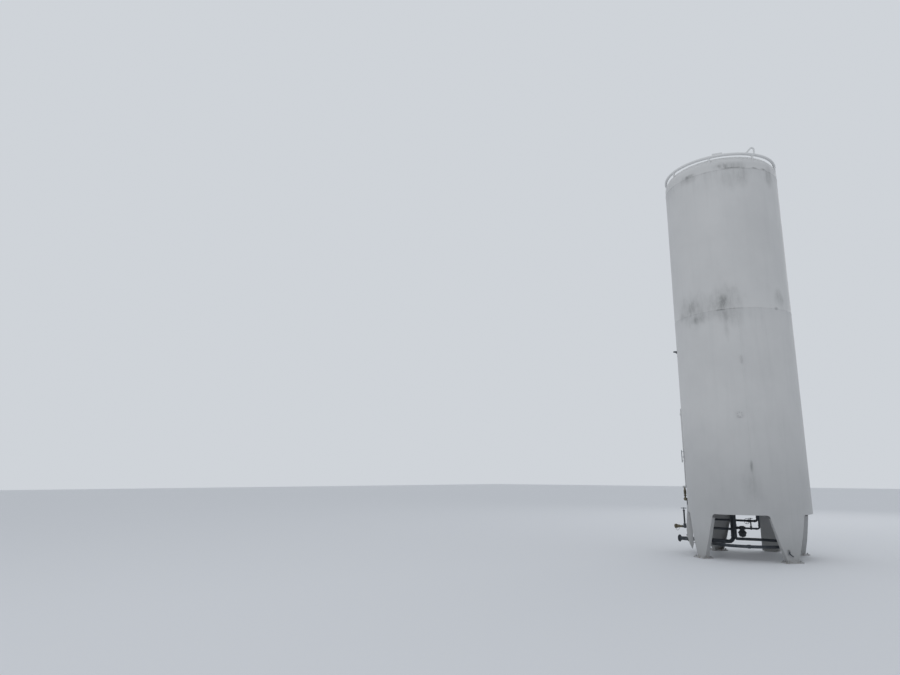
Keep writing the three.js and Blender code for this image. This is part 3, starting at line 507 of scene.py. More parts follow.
class Editing:
    """Edit mode on one piece, until the block ends."""

    def __init__(self, piece):
        self.piece = piece

    def __enter__(self):
        only(self.piece)
        bpy.ops.object.mode_set(mode="EDIT")
        bpy.ops.mesh.select_mode(type="VERT")
        bpy.ops.mesh.select_all(action="SELECT")
        return self

    def __exit__(self, *problem):
        bpy.ops.object.mode_set(mode="OBJECT")

    def pick(self, kind, wanted):
        bpy.ops.mesh.select_mode(type=kind)
        bpy.ops.mesh.select_all(action="DESELECT")
        shape = bmesh.from_edit_mesh(self.piece.data)
        parts = {"VERT": shape.verts, "EDGE": shape.edges, "FACE": shape.faces}[kind]
        for part in parts:
            if wanted(part):
                part.select_set(True)
        bmesh.update_edit_mesh(self.piece.data)

    def close(self):
        """Fills open ends, merges doubled corners and turns every face outwards."""
        bpy.ops.mesh.select_all(action="SELECT")
        bpy.ops.mesh.remove_doubles(threshold=0.00002)
        bpy.ops.mesh.delete_loose()
        bpy.ops.mesh.select_all(action="SELECT")
        bpy.ops.mesh.fill_holes(sides=0)
        bpy.ops.mesh.normals_make_consistent(inside=False)


# %% Start, aim, soften and join pieces
SOFTENED_ABOVE = math.radians(40)
SMOOTH_BELOW = math.radians(35)


def aimed(direction):
    return Vector((0, 0, 1)).rotation_difference(Vector(direction)).to_euler()


def started(add, **where):
    """A new primitive whose place and turn are already in its mesh."""
    bpy.ops.object.select_all(action="DESELECT")
    add(**where)
    bpy.ops.object.transform_apply(location=True, rotation=True, scale=True)
    return bpy.context.object


def placed(piece, centre, direction=(0, 0, 1), turn=0.0, size=1.0):
    """Moves a piece that was modelled upright at the origin; turn is round its own axis."""
    spin = Matrix.Rotation(math.radians(turn), 4, "Z") @ Matrix.Scale(size, 4)
    piece.data.transform(Matrix.Translation(centre) @ aimed(direction).to_matrix().to_4x4() @ spin)
    return piece


def copied(piece, *where, **how):
    twin = piece.copy()
    twin.data = piece.data.copy()
    bpy.context.collection.objects.link(twin)
    return placed(twin, *where, **how)


def modified(piece, kind, **settings):
    only(piece)
    modifier = piece.modifiers.new(kind.lower(), kind)
    for name, value in settings.items():
        setattr(modifier, name, value)
    bpy.ops.object.modifier_apply(modifier=modifier.name)
    return piece


def softened(piece, width, segments=2):
    return modified(piece, "BEVEL", width=width, segments=segments, limit_method="ANGLE",
                    angle_limit=SOFTENED_ABOVE)


def joined(pieces):
    only(pieces[0])
    for piece in pieces[1:]:
        piece.select_set(True)
    bpy.ops.object.join()
    return bpy.context.object


def settled(piece, name, material, slot, *replaced):
    """Names a finished piece, gives it its finish and ties it to the tank."""
    only(piece)
    bpy.ops.object.shade_smooth_by_angle(angle=SMOOTH_BELOW)
    piece.name = name
    piece.data.name = name
    wear_finish(piece, material)
    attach(piece, "root")
    if replaced:
        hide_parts(*replaced)
    print(name, len(piece.data.polygons), "faces")


# %% [markdown]
# Two forms make most of a tank. A round piece is half its section, drawn corner by corner from a
# single point and spun round an axis. A bent pipe is a circle that is extruded along each straight
# and spun round each bend, which is how a pipe bender works too.

# %% Sections, as on a drawing
MM = 0.001
UP = (0, 0, 1)
RIGHT = (1, 0, 0)


def section(*corners, unit=MM, out=0.0, up=0.0):
    """Corners of (radius, height) in millimetres, or another unit, counted from out and up."""
    return [(out + radius * unit, up + height * unit) for radius, height in corners]


def mirrored(*corners, unit=MM):
    """A section whose lower half is its upper half turned over."""
    upper = section(*corners, unit=unit)
    return [(radius, -height) for radius, height in reversed(upper)] + upper


def heading(angle):
    """One metre straight out from the axis; 90 degrees more gives the way along the jacket."""
    return around(angle, 1, 0) - AXIS


# %% Round pieces and bent pipes
ROUND_STEPS = 40
FINE_STEPS = 32
COARSE_STEPS = 20
BEND_STEPS = 7
PIPE_SIDES = 20


def extruded(step):
    bpy.ops.mesh.extrude_region_move(TRANSFORM_OT_translate={"value": step})


def drawn(corners):
    """Merges what is selected to one point and extrudes that from corner to corner."""
    bpy.ops.mesh.merge(type="CENTER")
    bpy.ops.transform.translate(value=corners[0])
    for here, there in zip(corners, corners[1:]):
        step = [end - start for start, end in zip(here, there)]
        bpy.ops.mesh.extrude_vertices_move(TRANSFORM_OT_translate={"value": step})
    bpy.ops.mesh.select_all(action="SELECT")


def spun(profile, centre=(0, 0, 0), direction=UP, steps=ROUND_STEPS):
    """A section turned all the way round; one that starts off the axis is closed first."""
    corners = [(radius, 0, height) for radius, height in profile]
    if profile[0][0] > 0:
        corners.append(corners[0])
    piece = started(bpy.ops.mesh.primitive_plane_add, size=0.01)
    with Editing(piece) as hand:
        drawn(corners)
        bpy.ops.mesh.spin(steps=steps, angle=2 * math.pi, center=(0, 0, 0), axis=UP,
                          use_auto_merge=True)
        hand.close()
    return placed(piece, centre, direction)


def pipe_end(centre, direction, radius, sides=PIPE_SIDES):
    return started(bpy.ops.mesh.primitive_circle_add, vertices=sides, radius=radius,
                   location=centre, rotation=aimed(direction))


def bent_pipe(corners, radius, bend, sides=PIPE_SIDES):
    """A round bar through the corners, each of them rounded to the bend radius."""
    corners = [Vector(corner) for corner in corners]
    piece = pipe_end(corners[0], corners[1] - corners[0], radius, sides)
    with Editing(piece) as hand:
        here = corners[0]
        for before, corner, after in zip(corners, corners[1:], corners[2:]):
            inward = (corner - before).normalized()
            outward = (after - corner).normalized()
            sweep = inward.angle(outward)
            reach = bend * math.tan(sweep / 2)
            hinge = inward.cross(outward).normalized()
            centre = corner - inward * reach - inward.cross(hinge) * bend
            extruded(corner - inward * reach - here)
            bpy.ops.mesh.spin(steps=BEND_STEPS, angle=-sweep, center=centre, axis=hinge)
            here = corner + outward * reach
        extruded(corners[-1] - here)
        hand.close()
    return piece


# %% [markdown]
# Flat pieces start as a cube that is scaled to size. Those that were cut with round corners have the
# edges along one axis picked and bevelled. Nuts start as a cylinder with six sides.

# %% Blocks and nuts
NUT_SIDES = 6


def block(size):
    piece = started(bpy.ops.mesh.primitive_cube_add, size=1)
    with Editing(piece):
        bpy.ops.transform.resize(value=size)
    return piece


def rounded_block(size, along, radius, segments=4, wanted=lambda place: True):
    """A block with its edges along one axis rounded, all of them or those at the wanted places."""
    piece = block(size)
    with Editing(piece) as hand:
        hand.pick("EDGE", lambda edge: abs(edge.verts[0].co[along] - edge.verts[1].co[along]) > 0.001
                  and wanted(edge.verts[0].co))
        bpy.ops.mesh.bevel(offset=radius, segments=segments, affect="EDGES")
    return piece


def hexagon(radius, depth, height=0.0):
    return started(bpy.ops.mesh.primitive_cylinder_add, vertices=NUT_SIDES, radius=radius,
                   depth=depth, location=(0, 0, height))


# %% [markdown]
# ## The jacket
#
# The jacket is rolled plate, 8 mm thick, in two courses with a weld bead between them. A spun
# section gives a true round, with the bead as three small corners at each end. Real plate is never
# quite even, so the surface is displaced by a slow cloud pattern of a millimetre or two.

# %% Two courses of rolled plate
BEAD = 0.004
BEAD_HALF = 0.011
COURSE_ROWS = 14
COURSE_STEPS = 144
PLATE_UNEVEN = 0.0035
SEAM_RADIUS = 0.0065
SEAM_DEPTH = 0.004
SEAM_SIDES = 12
LOWER_SEAM_ANGLE = 29.6
LOWER_SEAM_FOOT = JACKET_BOTTOM + 0.01
UPPER_SEAM_ANGLE = 146
INSIDE_RADIUS = JACKET_RADIUS - JACKET_WALL

unevenness = bpy.data.textures.new("plate_unevenness", "CLOUDS")
unevenness.noise_scale = 0.8


def course(low, high, foot_bead):
    """One course; its foot bead is how far the weld at its foot stands out, if it has one."""
    start = low + (BEAD_HALF if foot_bead else 0)
    end = high - BEAD_HALF
    rows = [(JACKET_RADIUS, start + (end - start) * k / COURSE_ROWS) for k in range(COURSE_ROWS + 1)]
    piece = spun([(INSIDE_RADIUS, low), (JACKET_RADIUS + foot_bead, low), *rows,
                  (JACKET_RADIUS + BEAD, high), (INSIDE_RADIUS, high)], AXIS, steps=COURSE_STEPS)
    return modified(piece, "DISPLACE", texture=unevenness, texture_coords="LOCAL",
                    strength=PLATE_UNEVEN, mid_level=0.5)


def seam_weld(angle, low, high):
    """The upright weld of one course: a low bead along the joint of the rolled plate."""
    ends = [around(angle, JACKET_RADIUS - SEAM_DEPTH, height) for height in (low, high)]
    return bent_pipe(ends, SEAM_RADIUS, 0, SEAM_SIDES)


lower_course = joined([course(JACKET_BOTTOM, MIDDLE_WELD, 0),
                       seam_weld(LOWER_SEAM_ANGLE, LOWER_SEAM_FOOT, MIDDLE_WELD)])
settled(lower_course, "jacket_lower_course", jacket_paint, "tank_paint", "shell_lower")
upper_course = joined([course(MIDDLE_WELD, ROOF_WELD, BEAD),
                       seam_weld(UPPER_SEAM_ANGLE, MIDDLE_WELD, ROOF_WELD)])
settled(upper_course, "jacket_upper_course", jacket_paint, "tank_paint", "shell_upper")

# %% [markdown]
# ## Dished ends
#
# A dished end is pressed from one disc: a straight flange, a tight knuckle and a shallow crown.
# Both curves are arcs, and the inside is the same section one wall smaller.

# %% Roof and bottom end
CROWN_RATIO = 2.0
KNUCKLE_RATIO = 0.2
ROOF_FLANGE = 0.110
BOTTOM_FLANGE = 0.030
DISH_STEPS = 12


def arc(centre, height, radius, start, end):
    """The corners of an arc, all but the one where it starts."""
    turns = [start + (end - start) * k / DISH_STEPS for k in range(1, DISH_STEPS + 1)]
    return [(centre + radius * math.cos(turn), height + radius * math.sin(turn)) for turn in turns]


def dish_curve(radius, flange, offset):
    crown = radius * CROWN_RATIO
    knuckle = radius * KNUCKLE_RATIO
    centre = radius - knuckle
    meet = math.acos(centre / (crown - knuckle))
    drop = math.sin(meet) * (crown - knuckle)
    return [(radius + offset, flange), *arc(centre, flange, knuckle + offset, 0, meet),
            *arc(0, flange - drop, crown + offset, meet, math.pi / 2)]


def dished_end(radius, flange, bead, place, direction=UP):
    skirt = [(radius - JACKET_WALL, 0), (radius + bead, 0), (radius, BEAD_HALF)]
    outside = dish_curve(radius, flange, 0)
    inside = dish_curve(radius, flange, -JACKET_WALL)
    return spun([*skirt, *outside, *reversed(inside)], place, direction, COURSE_STEPS)


roof = dished_end(JACKET_RADIUS, ROOF_FLANGE, BEAD, around(0, 0, ROOF_WELD))
settled(roof, "dished_roof", jacket_paint, "tank_paint", "top_head")

bottom_low, bottom_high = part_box("bottom_head")
bottom = dished_end((bottom_high.x - bottom_low.x) / 2, BOTTOM_FLANGE, 0,
                    around(0, 0, bottom_high.z), (0, 0, -1))
settled(bottom, "dished_bottom", jacket_paint, "tank_paint", "bottom_head")

# %% [markdown]
# ## Legs
#
# Each leg is a plate cut to a tapering outline, flanged along its edges, and rolled to the jacket's
# radius. It starts as a flat grid whose rows are scaled to the outline one by one. The side edges
# are extruded inwards for the flanges, Solidify gives the plate its thickness, and a bend modifier
# does what the plate rolls do.

# %% A plate rolled to the jacket's radius
LEG_PLATE = 0.012
LEG_TOP_HALF = 0.358
LEG_CORNER = 0.070
LEG_RIB = 0.090
LEG_RIB_TOP = 0.770
FOOT_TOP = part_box("foot_right")[1].z
CORNER_STEPS = 6
ACROSS_STEPS = 24
CLEAR_OF_ROWS = 10.0
LEG_ROWS = [(0.115, FOOT_TOP), (0.167, 0.160), (0.219, 0.300), (0.265, 0.450), (0.312, 0.605),
            (LEG_TOP_HALF, JACKET_BOTTOM - LEG_CORNER)]
for k in range(1, CORNER_STEPS + 1):
    turn = math.pi / 2 * k / CORNER_STEPS
    LEG_ROWS.append((LEG_TOP_HALF + LEG_CORNER * (1 - math.cos(turn)),
                     JACKET_BOTTOM - LEG_CORNER * (1 - math.sin(turn))))


def rolled_plate(rows, angle, rib=0.0):
    """A plate of (half width, height) rows; its grid starts high up, clear of the finished rows."""
    piece = started(bpy.ops.mesh.primitive_grid_add, x_subdivisions=ACROSS_STEPS,
                    y_subdivisions=len(rows) - 1, size=2, location=(0, 0, CLEAR_OF_ROWS),
                    rotation=(math.pi / 2, 0, 0))
    with Editing(piece) as hand:
        for k, (half, height) in enumerate(rows):
            row = CLEAR_OF_ROWS - 1 + 2 * k / (len(rows) - 1)
            hand.pick("VERT", lambda corner: abs(corner.co.z - row) < 0.001)
            bpy.ops.transform.resize(value=(half, 1, 1), center_override=(0, 0, row))
            bpy.ops.transform.translate(value=(0, 0, height - row))
        if rib:
            hand.pick("EDGE", lambda edge: edge.is_boundary
                      and abs(edge.verts[0].co.z - edge.verts[1].co.z) > 0.001
                      and max(corner.co.z for corner in edge.verts) < LEG_RIB_TOP)
            extruded((0, rib, 0))
        bpy.ops.mesh.select_all(action="SELECT")
        bpy.ops.mesh.normals_make_consistent(inside=False)
    if min(piece.data.polygons, key=lambda face: abs(face.center.x) + face.center.z).normal.y > 0:
        piece.data.flip_normals()
    modified(piece, "SOLIDIFY", thickness=LEG_PLATE, offset=-1)
    widest = max(abs(corner.co.x) for corner in piece.data.vertices)
    modified(piece, "SIMPLE_DEFORM", deform_method="BEND", deform_axis="Z",
             angle=2 * widest / JACKET_RADIUS)
    placed(piece, (0, -JACKET_RADIUS, 0))
    return placed(piece, AXIS, turn=angle)


# %% Bolts, modelled once
NUT_TALL = 0.4
STUD_INSET = 0.14
STUD_TALL = 0.28
STUD_TAPER = 0.9
NUT_TURN = 17


def hex_bolt():
    """A nut on a stud, 1 across its corners and standing on its seat."""
    piece = softened(hexagon(0.5, NUT_TALL, NUT_TALL / 2), 0.035, 1)
    with Editing(piece) as hand:
        hand.pick("FACE", lambda face: face.normal.z > 0.9 and face.calc_center_median().z > 0.38)
        bpy.ops.mesh.inset(thickness=STUD_INSET)
        extruded((0, 0, STUD_TALL))
        bpy.ops.transform.resize(value=(STUD_TAPER, STUD_TAPER, 1))
    return piece


bolt_pattern = hex_bolt()


def bolts(places, size, direction=UP):
    """Bolts with their seats at the places, each nut turned a little further than the last."""
    return [copied(bolt_pattern, place, direction, turn=NUT_TURN * k, size=size)
            for k, place in enumerate(places)]


def ring_of(centre, direction, radius, count, first=0.0):
    """Places round a circle that faces the direction."""
    facing = aimed(direction).to_matrix()
    turns = [math.radians(first + 360 * k / count) for k in range(count)]
    return [Vector(centre) + facing @ Vector((radius * math.cos(turn), radius * math.sin(turn), 0))
            for turn in turns]


# %% Four legs with their ledges
LEG_ANGLES = {"front": -30, "right": 60, "rear": 150, "left": -120}
COIL_RADIUS = 0.800
COIL_PIPE = 0.028
COIL_START = -87
COIL_END = 176
COIL_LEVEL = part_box("pressure_coil")[1].z - COIL_PIPE
LEG_INSIDE = JACKET_RADIUS - LEG_PLATE / 2
LEDGE_PAST_COIL = 0.044
LEDGE_SIZE = (0.060, LEG_INSIDE - COIL_RADIUS + LEDGE_PAST_COIL, 0.010)
WELD_STEPS = 6
WELD_RADIUS = 0.007
WELD_BEND = 0.02


def coil_ledge(angle):
    place = around(angle, LEG_INSIDE - LEDGE_SIZE[1] / 2, COIL_LEVEL - COIL_PIPE - LEDGE_SIZE[2] / 2)
    return placed(softened(block(LEDGE_SIZE), 0.002), place, turn=angle)


def foot_weld(angle, half):
    """The weld bead between the leg plate and its foot, outside."""
    sweep = math.degrees(half / JACKET_RADIUS)
    places = [around(angle - sweep + 2 * sweep * k / WELD_STEPS, JACKET_RADIUS + 0.001, FOOT_TOP)
              for k in range(WELD_STEPS + 1)]
    return bent_pipe(places, WELD_RADIUS, WELD_BEND, sides=8)


for side, angle in LEG_ANGLES.items():
    parts = [rolled_plate(LEG_ROWS, angle, LEG_RIB), foot_weld(angle, LEG_ROWS[0][0])]
    if COIL_START < angle < COIL_END:
        parts.append(coil_ledge(angle))
    settled(joined(parts), f"leg_{side}_plate", frame_paint, "tank_paint", f"leg_{side}")

# %% Four feet with their anchor bolts
FOOT_SIZE = (0.330, 0.210, FOOT_TOP)
FOOT_RADIUS = JACKET_RADIUS - 0.045
ANCHOR_ACROSS = 0.128
ANCHOR_IN = 0.072
ANCHOR_BOLT = 0.040

for side, angle in LEG_ANGLES.items():
    plate = softened(block(FOOT_SIZE), 0.003)
    placed(plate, around(angle, FOOT_RADIUS, FOOT_TOP / 2), turn=angle)
    anchors = bolts([around(angle, FOOT_RADIUS + inward, FOOT_TOP) + heading(angle + 90) * across
                     for inward in (-ANCHOR_IN, ANCHOR_IN)
                     for across in (-ANCHOR_ACROSS, ANCHOR_ACROSS)], ANCHOR_BOLT)
    settled(plate, f"foot_{side}_plate", frame_paint, "tank_paint", f"foot_{side}")
    settled(joined(anchors), f"anchor_bolts_{side}", bare_steel, "bare_steel")

# %% The straight plate between the rear legs
REAR_ANGLE = 183.5
REAR_HALF = 0.180
REAR_ROWS = 4
REAR_FOOT = (0.250, 0.110, FOOT_TOP)

rear_low = FOOT_TOP / 2
rear_rows = [(REAR_HALF, rear_low + (JACKET_BOTTOM - rear_low) * k / REAR_ROWS)
             for k in range(REAR_ROWS + 1)]
rear_foot = softened(block(REAR_FOOT), 0.003)
placed(rear_foot, around(REAR_ANGLE, JACKET_RADIUS - LEG_PLATE, rear_low), turn=REAR_ANGLE)
settled(joined([rolled_plate(rear_rows, REAR_ANGLE), rear_foot]), "rear_straight_plate",
        frame_paint, "tank_paint", "rear_plate")

# %% [markdown]
# ## Roof ring and lifting loops
#
# The ring is one bent tube on eight short posts. It is there for hooks and hands during work on the
# roof. The two lifting loops are bent from round bar, with one leg upright and one leaning.

# %% Ring and posts
RING_RADIUS = 1.101
RING_TUBE = 0.028
RING_HEIGHT = 7.956
POST_RADIUS = 0.021
POST_COUNT = 8
FIRST_POST = 60
POST_FOOT = ROOF_WELD + ROOF_FLANGE + 0.030
POST_WELD = section((0, -12), (6, -3), (3, 6), (0, 8), (-4, 0), out=POST_RADIUS)

ring_parts = [started(bpy.ops.mesh.primitive_torus_add, major_radius=RING_RADIUS,
                      minor_radius=RING_TUBE, major_segments=128, minor_segments=18,
                      location=around(0, 0, RING_HEIGHT))]
for k in range(POST_COUNT):
    angle = FIRST_POST + 360 * k / POST_COUNT
    head = around(angle, RING_RADIUS, RING_HEIGHT)
    ring_parts.append(bent_pipe([around(angle, RING_RADIUS, POST_FOOT), head], POST_RADIUS, 0))
    ring_parts.append(spun(POST_WELD, head - Vector((0, 0, RING_TUBE * 0.9)), steps=COARSE_STEPS))
settled(joined(ring_parts), "roof_ring", frame_paint, "tank_paint", "top_ring")

# %% Lifting loops
LOOP_ANGLES = {"lifting_loop_front": 60, "lifting_loop_rear": 240}
LOOP_ROD = 0.017
LOOP_BEND = 0.034
LOOP_TOP = 8.103
LOOP_ACROSS = (-0.150, -0.015, 0.0525)

for loop, angle in LOOP_ANGLES.items():
    seat = around(angle, RING_RADIUS, RING_HEIGHT)
    top = Vector((0, 0, LOOP_TOP - RING_HEIGHT))
    leaning, corner, upright = (seat + heading(angle + 90) * across for across in LOOP_ACROSS)
    bar = bent_pipe([leaning, corner + top, upright + top, upright], LOOP_ROD, LOOP_BEND)
    settled(bar, loop + "_bar", frame_paint, "tank_paint", loop)

# %% [markdown]
# ## Relief nozzle and lid
#
# In the middle of the roof a short nozzle opens the space between jacket and inner vessel if
# pressure ever builds up there. Its lid is only held by its own weight.

# %% Relief nozzle and lid
nozzle_low, nozzle_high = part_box("relief_nozzle")
nozzle_radius = (nozzle_high.x - nozzle_low.x) / 2
nozzle_tall = nozzle_high.z - nozzle_low.z
nozzle = spun([*section((-8, 0), (7, 4), (0, 13), out=nozzle_radius),
               *section((0, 0), (-8, 0), out=nozzle_radius, up=nozzle_tall)],
              around(0, 0, nozzle_low.z))
settled(nozzle, "relief_nozzle_tube", frame_paint, "tank_paint", "relief_nozzle")

lid_low, lid_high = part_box("relief_lid")
lid_radius = (lid_high.x - lid_low.x) / 2
lid = spun([(0, MM), *section((-4, 1), (0, 4), (0, 19), (-6, 24), out=lid_radius),
            *section((60, 29), (52, 33), (0, 34))], around(0, 0, lid_low.z))
settled(lid, "relief_lid_plate", bare_steel, "bare_steel", "relief_lid")

# %% [markdown]
# ## Pipes
#
# Most pipes drop from the bottom end and turn towards the valves. Their ends and levels are read
# from the solids they replace, so each needs only its radius and its bend.

# %% Dropping pipes
LIQUID_PIPE = 0.038
FILL_PIPE = 0.024
GAS_PIPE = 0.021
SMALL_PIPE = 0.017
THIN_PIPE = 0.011
BEND_RATIO = 2.5
SLEEVE_ABOVE = 0.02


def dropping_pipe(node, radius, name):
    """From the bottom end straight down, then level to the other end."""
    low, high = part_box(node)
    y = (low.y + high.y) / 2
    level = low.z + radius
    drop_x = high.x - radius
    bend = radius * BEND_RATIO
    line = bent_pipe([(drop_x, y, high.z - 0.004), (drop_x, y, level), (low.x, y, level)], radius, bend)
    sleeve = section((0, -12), (5, -9), (5, 9), (0, 12), (-3, 0), out=radius)
    upright = spun(sleeve, (drop_x, y, level + bend + SLEEVE_ABOVE), steps=PIPE_SIDES)
    flat = spun(sleeve, ((drop_x + low.x) / 2, y, level), RIGHT, PIPE_SIDES)
    settled(joined([line, upright, flat]), name, pipe_paint, "pipe_paint", node)


dropping_pipe("liquid_line", LIQUID_PIPE, "liquid_pipe")
dropping_pipe("fill_line", FILL_PIPE, "fill_pipe")
dropping_pipe("gas_drop", GAS_PIPE, "gas_drop_pipe")
dropping_pipe("build_up_line", SMALL_PIPE, "build_up_pipe")

# %% Gas pipe to the safety valves
GAS_TURN_X = -0.560
gas_low, gas_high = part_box("gas_line")
gas_level = gas_low.z + GAS_PIPE
gas_y = gas_high.y - GAS_PIPE
riser_x = gas_low.x + GAS_PIPE
riser_y = gas_low.y + GAS_PIPE
gas_pipe = bent_pipe([(gas_high.x, gas_y, gas_level), (AXIS.x + GAS_TURN_X, gas_y, gas_level),
                      (riser_x, riser_y, gas_level), (riser_x, riser_y, gas_high.z)],
                     GAS_PIPE, GAS_PIPE * BEND_RATIO)
settled(gas_pipe, "gas_pipe", pipe_paint, "pipe_paint", "gas_line")

# %% Coil under the tank
COIL_STEPS = 96
COUPLING_ANGLES = (-45, 20, 100)
COUPLING = section((-3, -30), (6, -28), (6, 28), (-3, 30), out=COIL_PIPE)

coil = pipe_end(around(COIL_START, COIL_RADIUS, COIL_LEVEL), heading(COIL_START + 90), COIL_PIPE)
with Editing(coil) as hand:
    bpy.ops.mesh.spin(steps=COIL_STEPS, angle=-math.radians(COIL_END - COIL_START),
                      center=around(0, 0, COIL_LEVEL), axis=UP)
    hand.close()
couplings = [spun(COUPLING, around(angle, COIL_RADIUS, COIL_LEVEL), heading(angle + 90), PIPE_SIDES)
             for angle in COUPLING_ANGLES]
settled(joined([coil, *couplings]), "pressure_coil_pipe", pipe_paint, "pipe_paint", "pressure_coil")

# %% Way back from the coil to the regulator
RETURN_REACH = 0.150
RETURN_BEND = 0.044
RETURN_LEVEL = 0.320
return_low, return_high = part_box("coil_return")
return_x = return_low.x + COIL_PIPE
return_y = return_low.y + COIL_PIPE
return_top = return_high.z - COIL_PIPE
coil_end = around(COIL_END, COIL_RADIUS, COIL_LEVEL)
way_back = bent_pipe([coil_end, coil_end + (around(COIL_END + 90, RETURN_REACH, 0) - AXIS),
                      (return_x, return_y, RETURN_LEVEL), (return_x, return_y, return_top),
                      (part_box("regulator")[0].x, return_y, return_top)], COIL_PIPE, RETURN_BEND)
settled(way_back, "coil_return_pipe", pipe_paint, "pipe_paint", "coil_return")

# %% [markdown]
# ## Valves
#
# Every stop valve has the same shape at its own size: a ball-shaped body with a collar at each end,
# a bolted bonnet, a long neck that keeps the handwheel away from the cold, a gland nut and the
# wheel. All lengths are shares of the pipe radius, so one function makes the four valves.

# %% Body, bonnet and neck of a stop valve
VALVE_BODY = [(1.45, 0.25), (1.30, 0.72), (0.95, 1.15), (0.92, 1.45), (1.05, 1.55), (1.05, 2.1),
              (0, 2.1)]
VALVE_BONNET = [(0, 0.9), (0.95, 1), (0.95, 1.45), (1.35, 1.5), (1.35, 1.78), (1.28, 1.80),
                (1.35, 1.82), (1.35, 2.1), (0.80, 2.25), (0.72, 2.6)]
VALVE_NECK = [(0.72, -2.3), (0.86, -2.2), (0.95, -2.1), (0.95, -1.5), (0.6, -1.35), (0.3, -1.2),
              (0.3, 0.6), (0.2, 0.7), (0, 0.7)]
BONNET_SEAT = 2.1
BONNET_CIRCLE = 1.12
BONNET_BOLT = 0.42
BONNET_BOLTS = 6
GLAND_SIZE = 0.98
GLAND_DROP = 1.75


def stop_valve(centre, size, neck, up):
    body = spun(mirrored(*VALVE_BODY, unit=size), centre, RIGHT, FINE_STEPS)
    top = spun(section(*VALVE_BONNET, unit=size) + section(*VALVE_NECK, unit=size, up=neck),
               centre, up, FINE_STEPS)
    seats = ring_of(centre + up * BONNET_SEAT * size, up, BONNET_CIRCLE * size, BONNET_BOLTS, 30)
    studs = bolts(seats, BONNET_BOLT * size, up)
    gland = softened(hexagon(1.0, 0.5), 0.06)
    placed(gland, centre + up * (neck - GLAND_DROP * size), up, size=GLAND_SIZE * size)
    return joined([body, top, gland, *studs])


# %% Handwheel of a stop valve
WHEEL_HUB = [(0, -0.16), (0.20, -0.16), (0.24, -0.06), (0.24, 0.08), (0.17, 0.14), (0, 0.14)]
WHEEL_RIM = 0.085
WHEEL_SPOKES = 3
WHEEL_TURN = 25
SPOKE_ROD = 0.065
SPOKE_BEND = 0.2
SPOKE_DISH = Vector((0, 0, 0.10))


def handwheel(centre, radius, up):
    """A rim, a hub and three dished spokes, made 1 in radius and then scaled."""
    parts = [started(bpy.ops.mesh.primitive_torus_add, major_radius=1.0, minor_radius=WHEEL_RIM,
                     major_segments=40, minor_segments=10), spun(WHEEL_HUB, steps=COARSE_STEPS)]
    for tip in ring_of((0, 0, 0), UP, 1, WHEEL_SPOKES):
        route = [tip * 0.12, tip * 0.45 - SPOKE_DISH, tip * 0.99]
        parts.append(bent_pipe(route, SPOKE_ROD, SPOKE_BEND, 8))
    return placed(joined(parts), centre, up, WHEEL_TURN, radius)


# %% Four stop valves
FORWARD = (0, -1, 0)
FILL_LEVEL = 0.505
LIQUID_LEVEL = 0.250
FILL_Y = -0.192
LIQUID_Y = -0.040
OUTGOING_X = -1.265
BUILD_UP_Y = -0.110
BUILD_UP_LEVEL = 0.530
WHEEL_SHARE = 2.4

# Where each valve is, the radius of its pipe, how long its neck is and where the neck points
VALVES = {
    "liquid_valve": (beside(OUTGOING_X, LIQUID_Y, LIQUID_LEVEL), LIQUID_PIPE, 0.250, UP),
    "fill_valve": (beside(OUTGOING_X, FILL_Y, FILL_LEVEL), FILL_PIPE, 0.370, UP),
    "gas_valve": (beside(-0.035, 0.090, 0.660), GAS_PIPE, 0.130, FORWARD),
    "build_up_valve": (beside(0.070, BUILD_UP_Y, BUILD_UP_LEVEL), SMALL_PIPE, 0.190, UP),
}

for node, (centre, size, neck, up) in VALVES.items():
    up = Vector(up)
    settled(stop_valve(centre, size, neck, up), node + "_body", valve_paint, "pipe_paint", node)
    wheel = handwheel(centre + up * neck, WHEEL_SHARE * size, up)
    settled(wheel, node + "_handwheel", wheel_paint, "pipe_paint")

# %% [markdown]
# ## Outlet flange and filling coupling
#
# The liquid outlet ends in a flange that waits for the transfer pipe, so its eight bolt holes are
# drilled through with a boolean. The filling coupling is closed by a brass cap that has two lugs for
# a spanner and hangs on a short chain when it is open.

# %% Drilled outlet flange
OUTLET_THICK = 0.018
BOLT_CIRCLE = 0.057
BOLT_HOLES = 8
HOLE_RADIUS = 0.0065

flange_low, flange_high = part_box("liquid_flange")
outlet_face = Vector((flange_low.x, (flange_low.y + flange_high.y) / 2,
                      (flange_low.z + flange_high.z) / 2))
outlet_long = flange_high.x - flange_low.x


def drilled(piece, centres, direction, radius, depth):
    tools = [placed(started(bpy.ops.mesh.primitive_cylinder_add, vertices=20, radius=radius,
                            depth=depth), centre, direction) for centre in centres]
    drill = joined(tools)
    modified(piece, "BOOLEAN", operation="DIFFERENCE", object=drill, solver="EXACT")
    bpy.data.objects.remove(drill)
    return piece


outlet = spun([*section((30, 0), (50, 0), (50, 2), (71, 2), (72, 3), (72, 17), (71, 18), (48, 18),
                        (38, 40)), (LIQUID_PIPE, outlet_long), (0, outlet_long),
               *section((0, 95), (30, 95))], outlet_face, RIGHT)
hole_places = ring_of(outlet_face + Vector((OUTLET_THICK / 2, 0, 0)), RIGHT, BOLT_CIRCLE,
                      BOLT_HOLES, 180 / BOLT_HOLES)
drilled(outlet, hole_places, RIGHT, HOLE_RADIUS, OUTLET_THICK * 2)
settled(outlet, "outlet_flange", pipe_paint, "pipe_paint", "liquid_flange")

# %% Capped filling coupling
COUPLING_NUT = 0.036
CAP_RADIUS = 0.044
NUT_FROM_END = Vector((0.078, 0, 0))
LUG_SIZE = (0.020, 0.010, 0.012)
LUG_TAPER = (0.6, 1, 0.7)

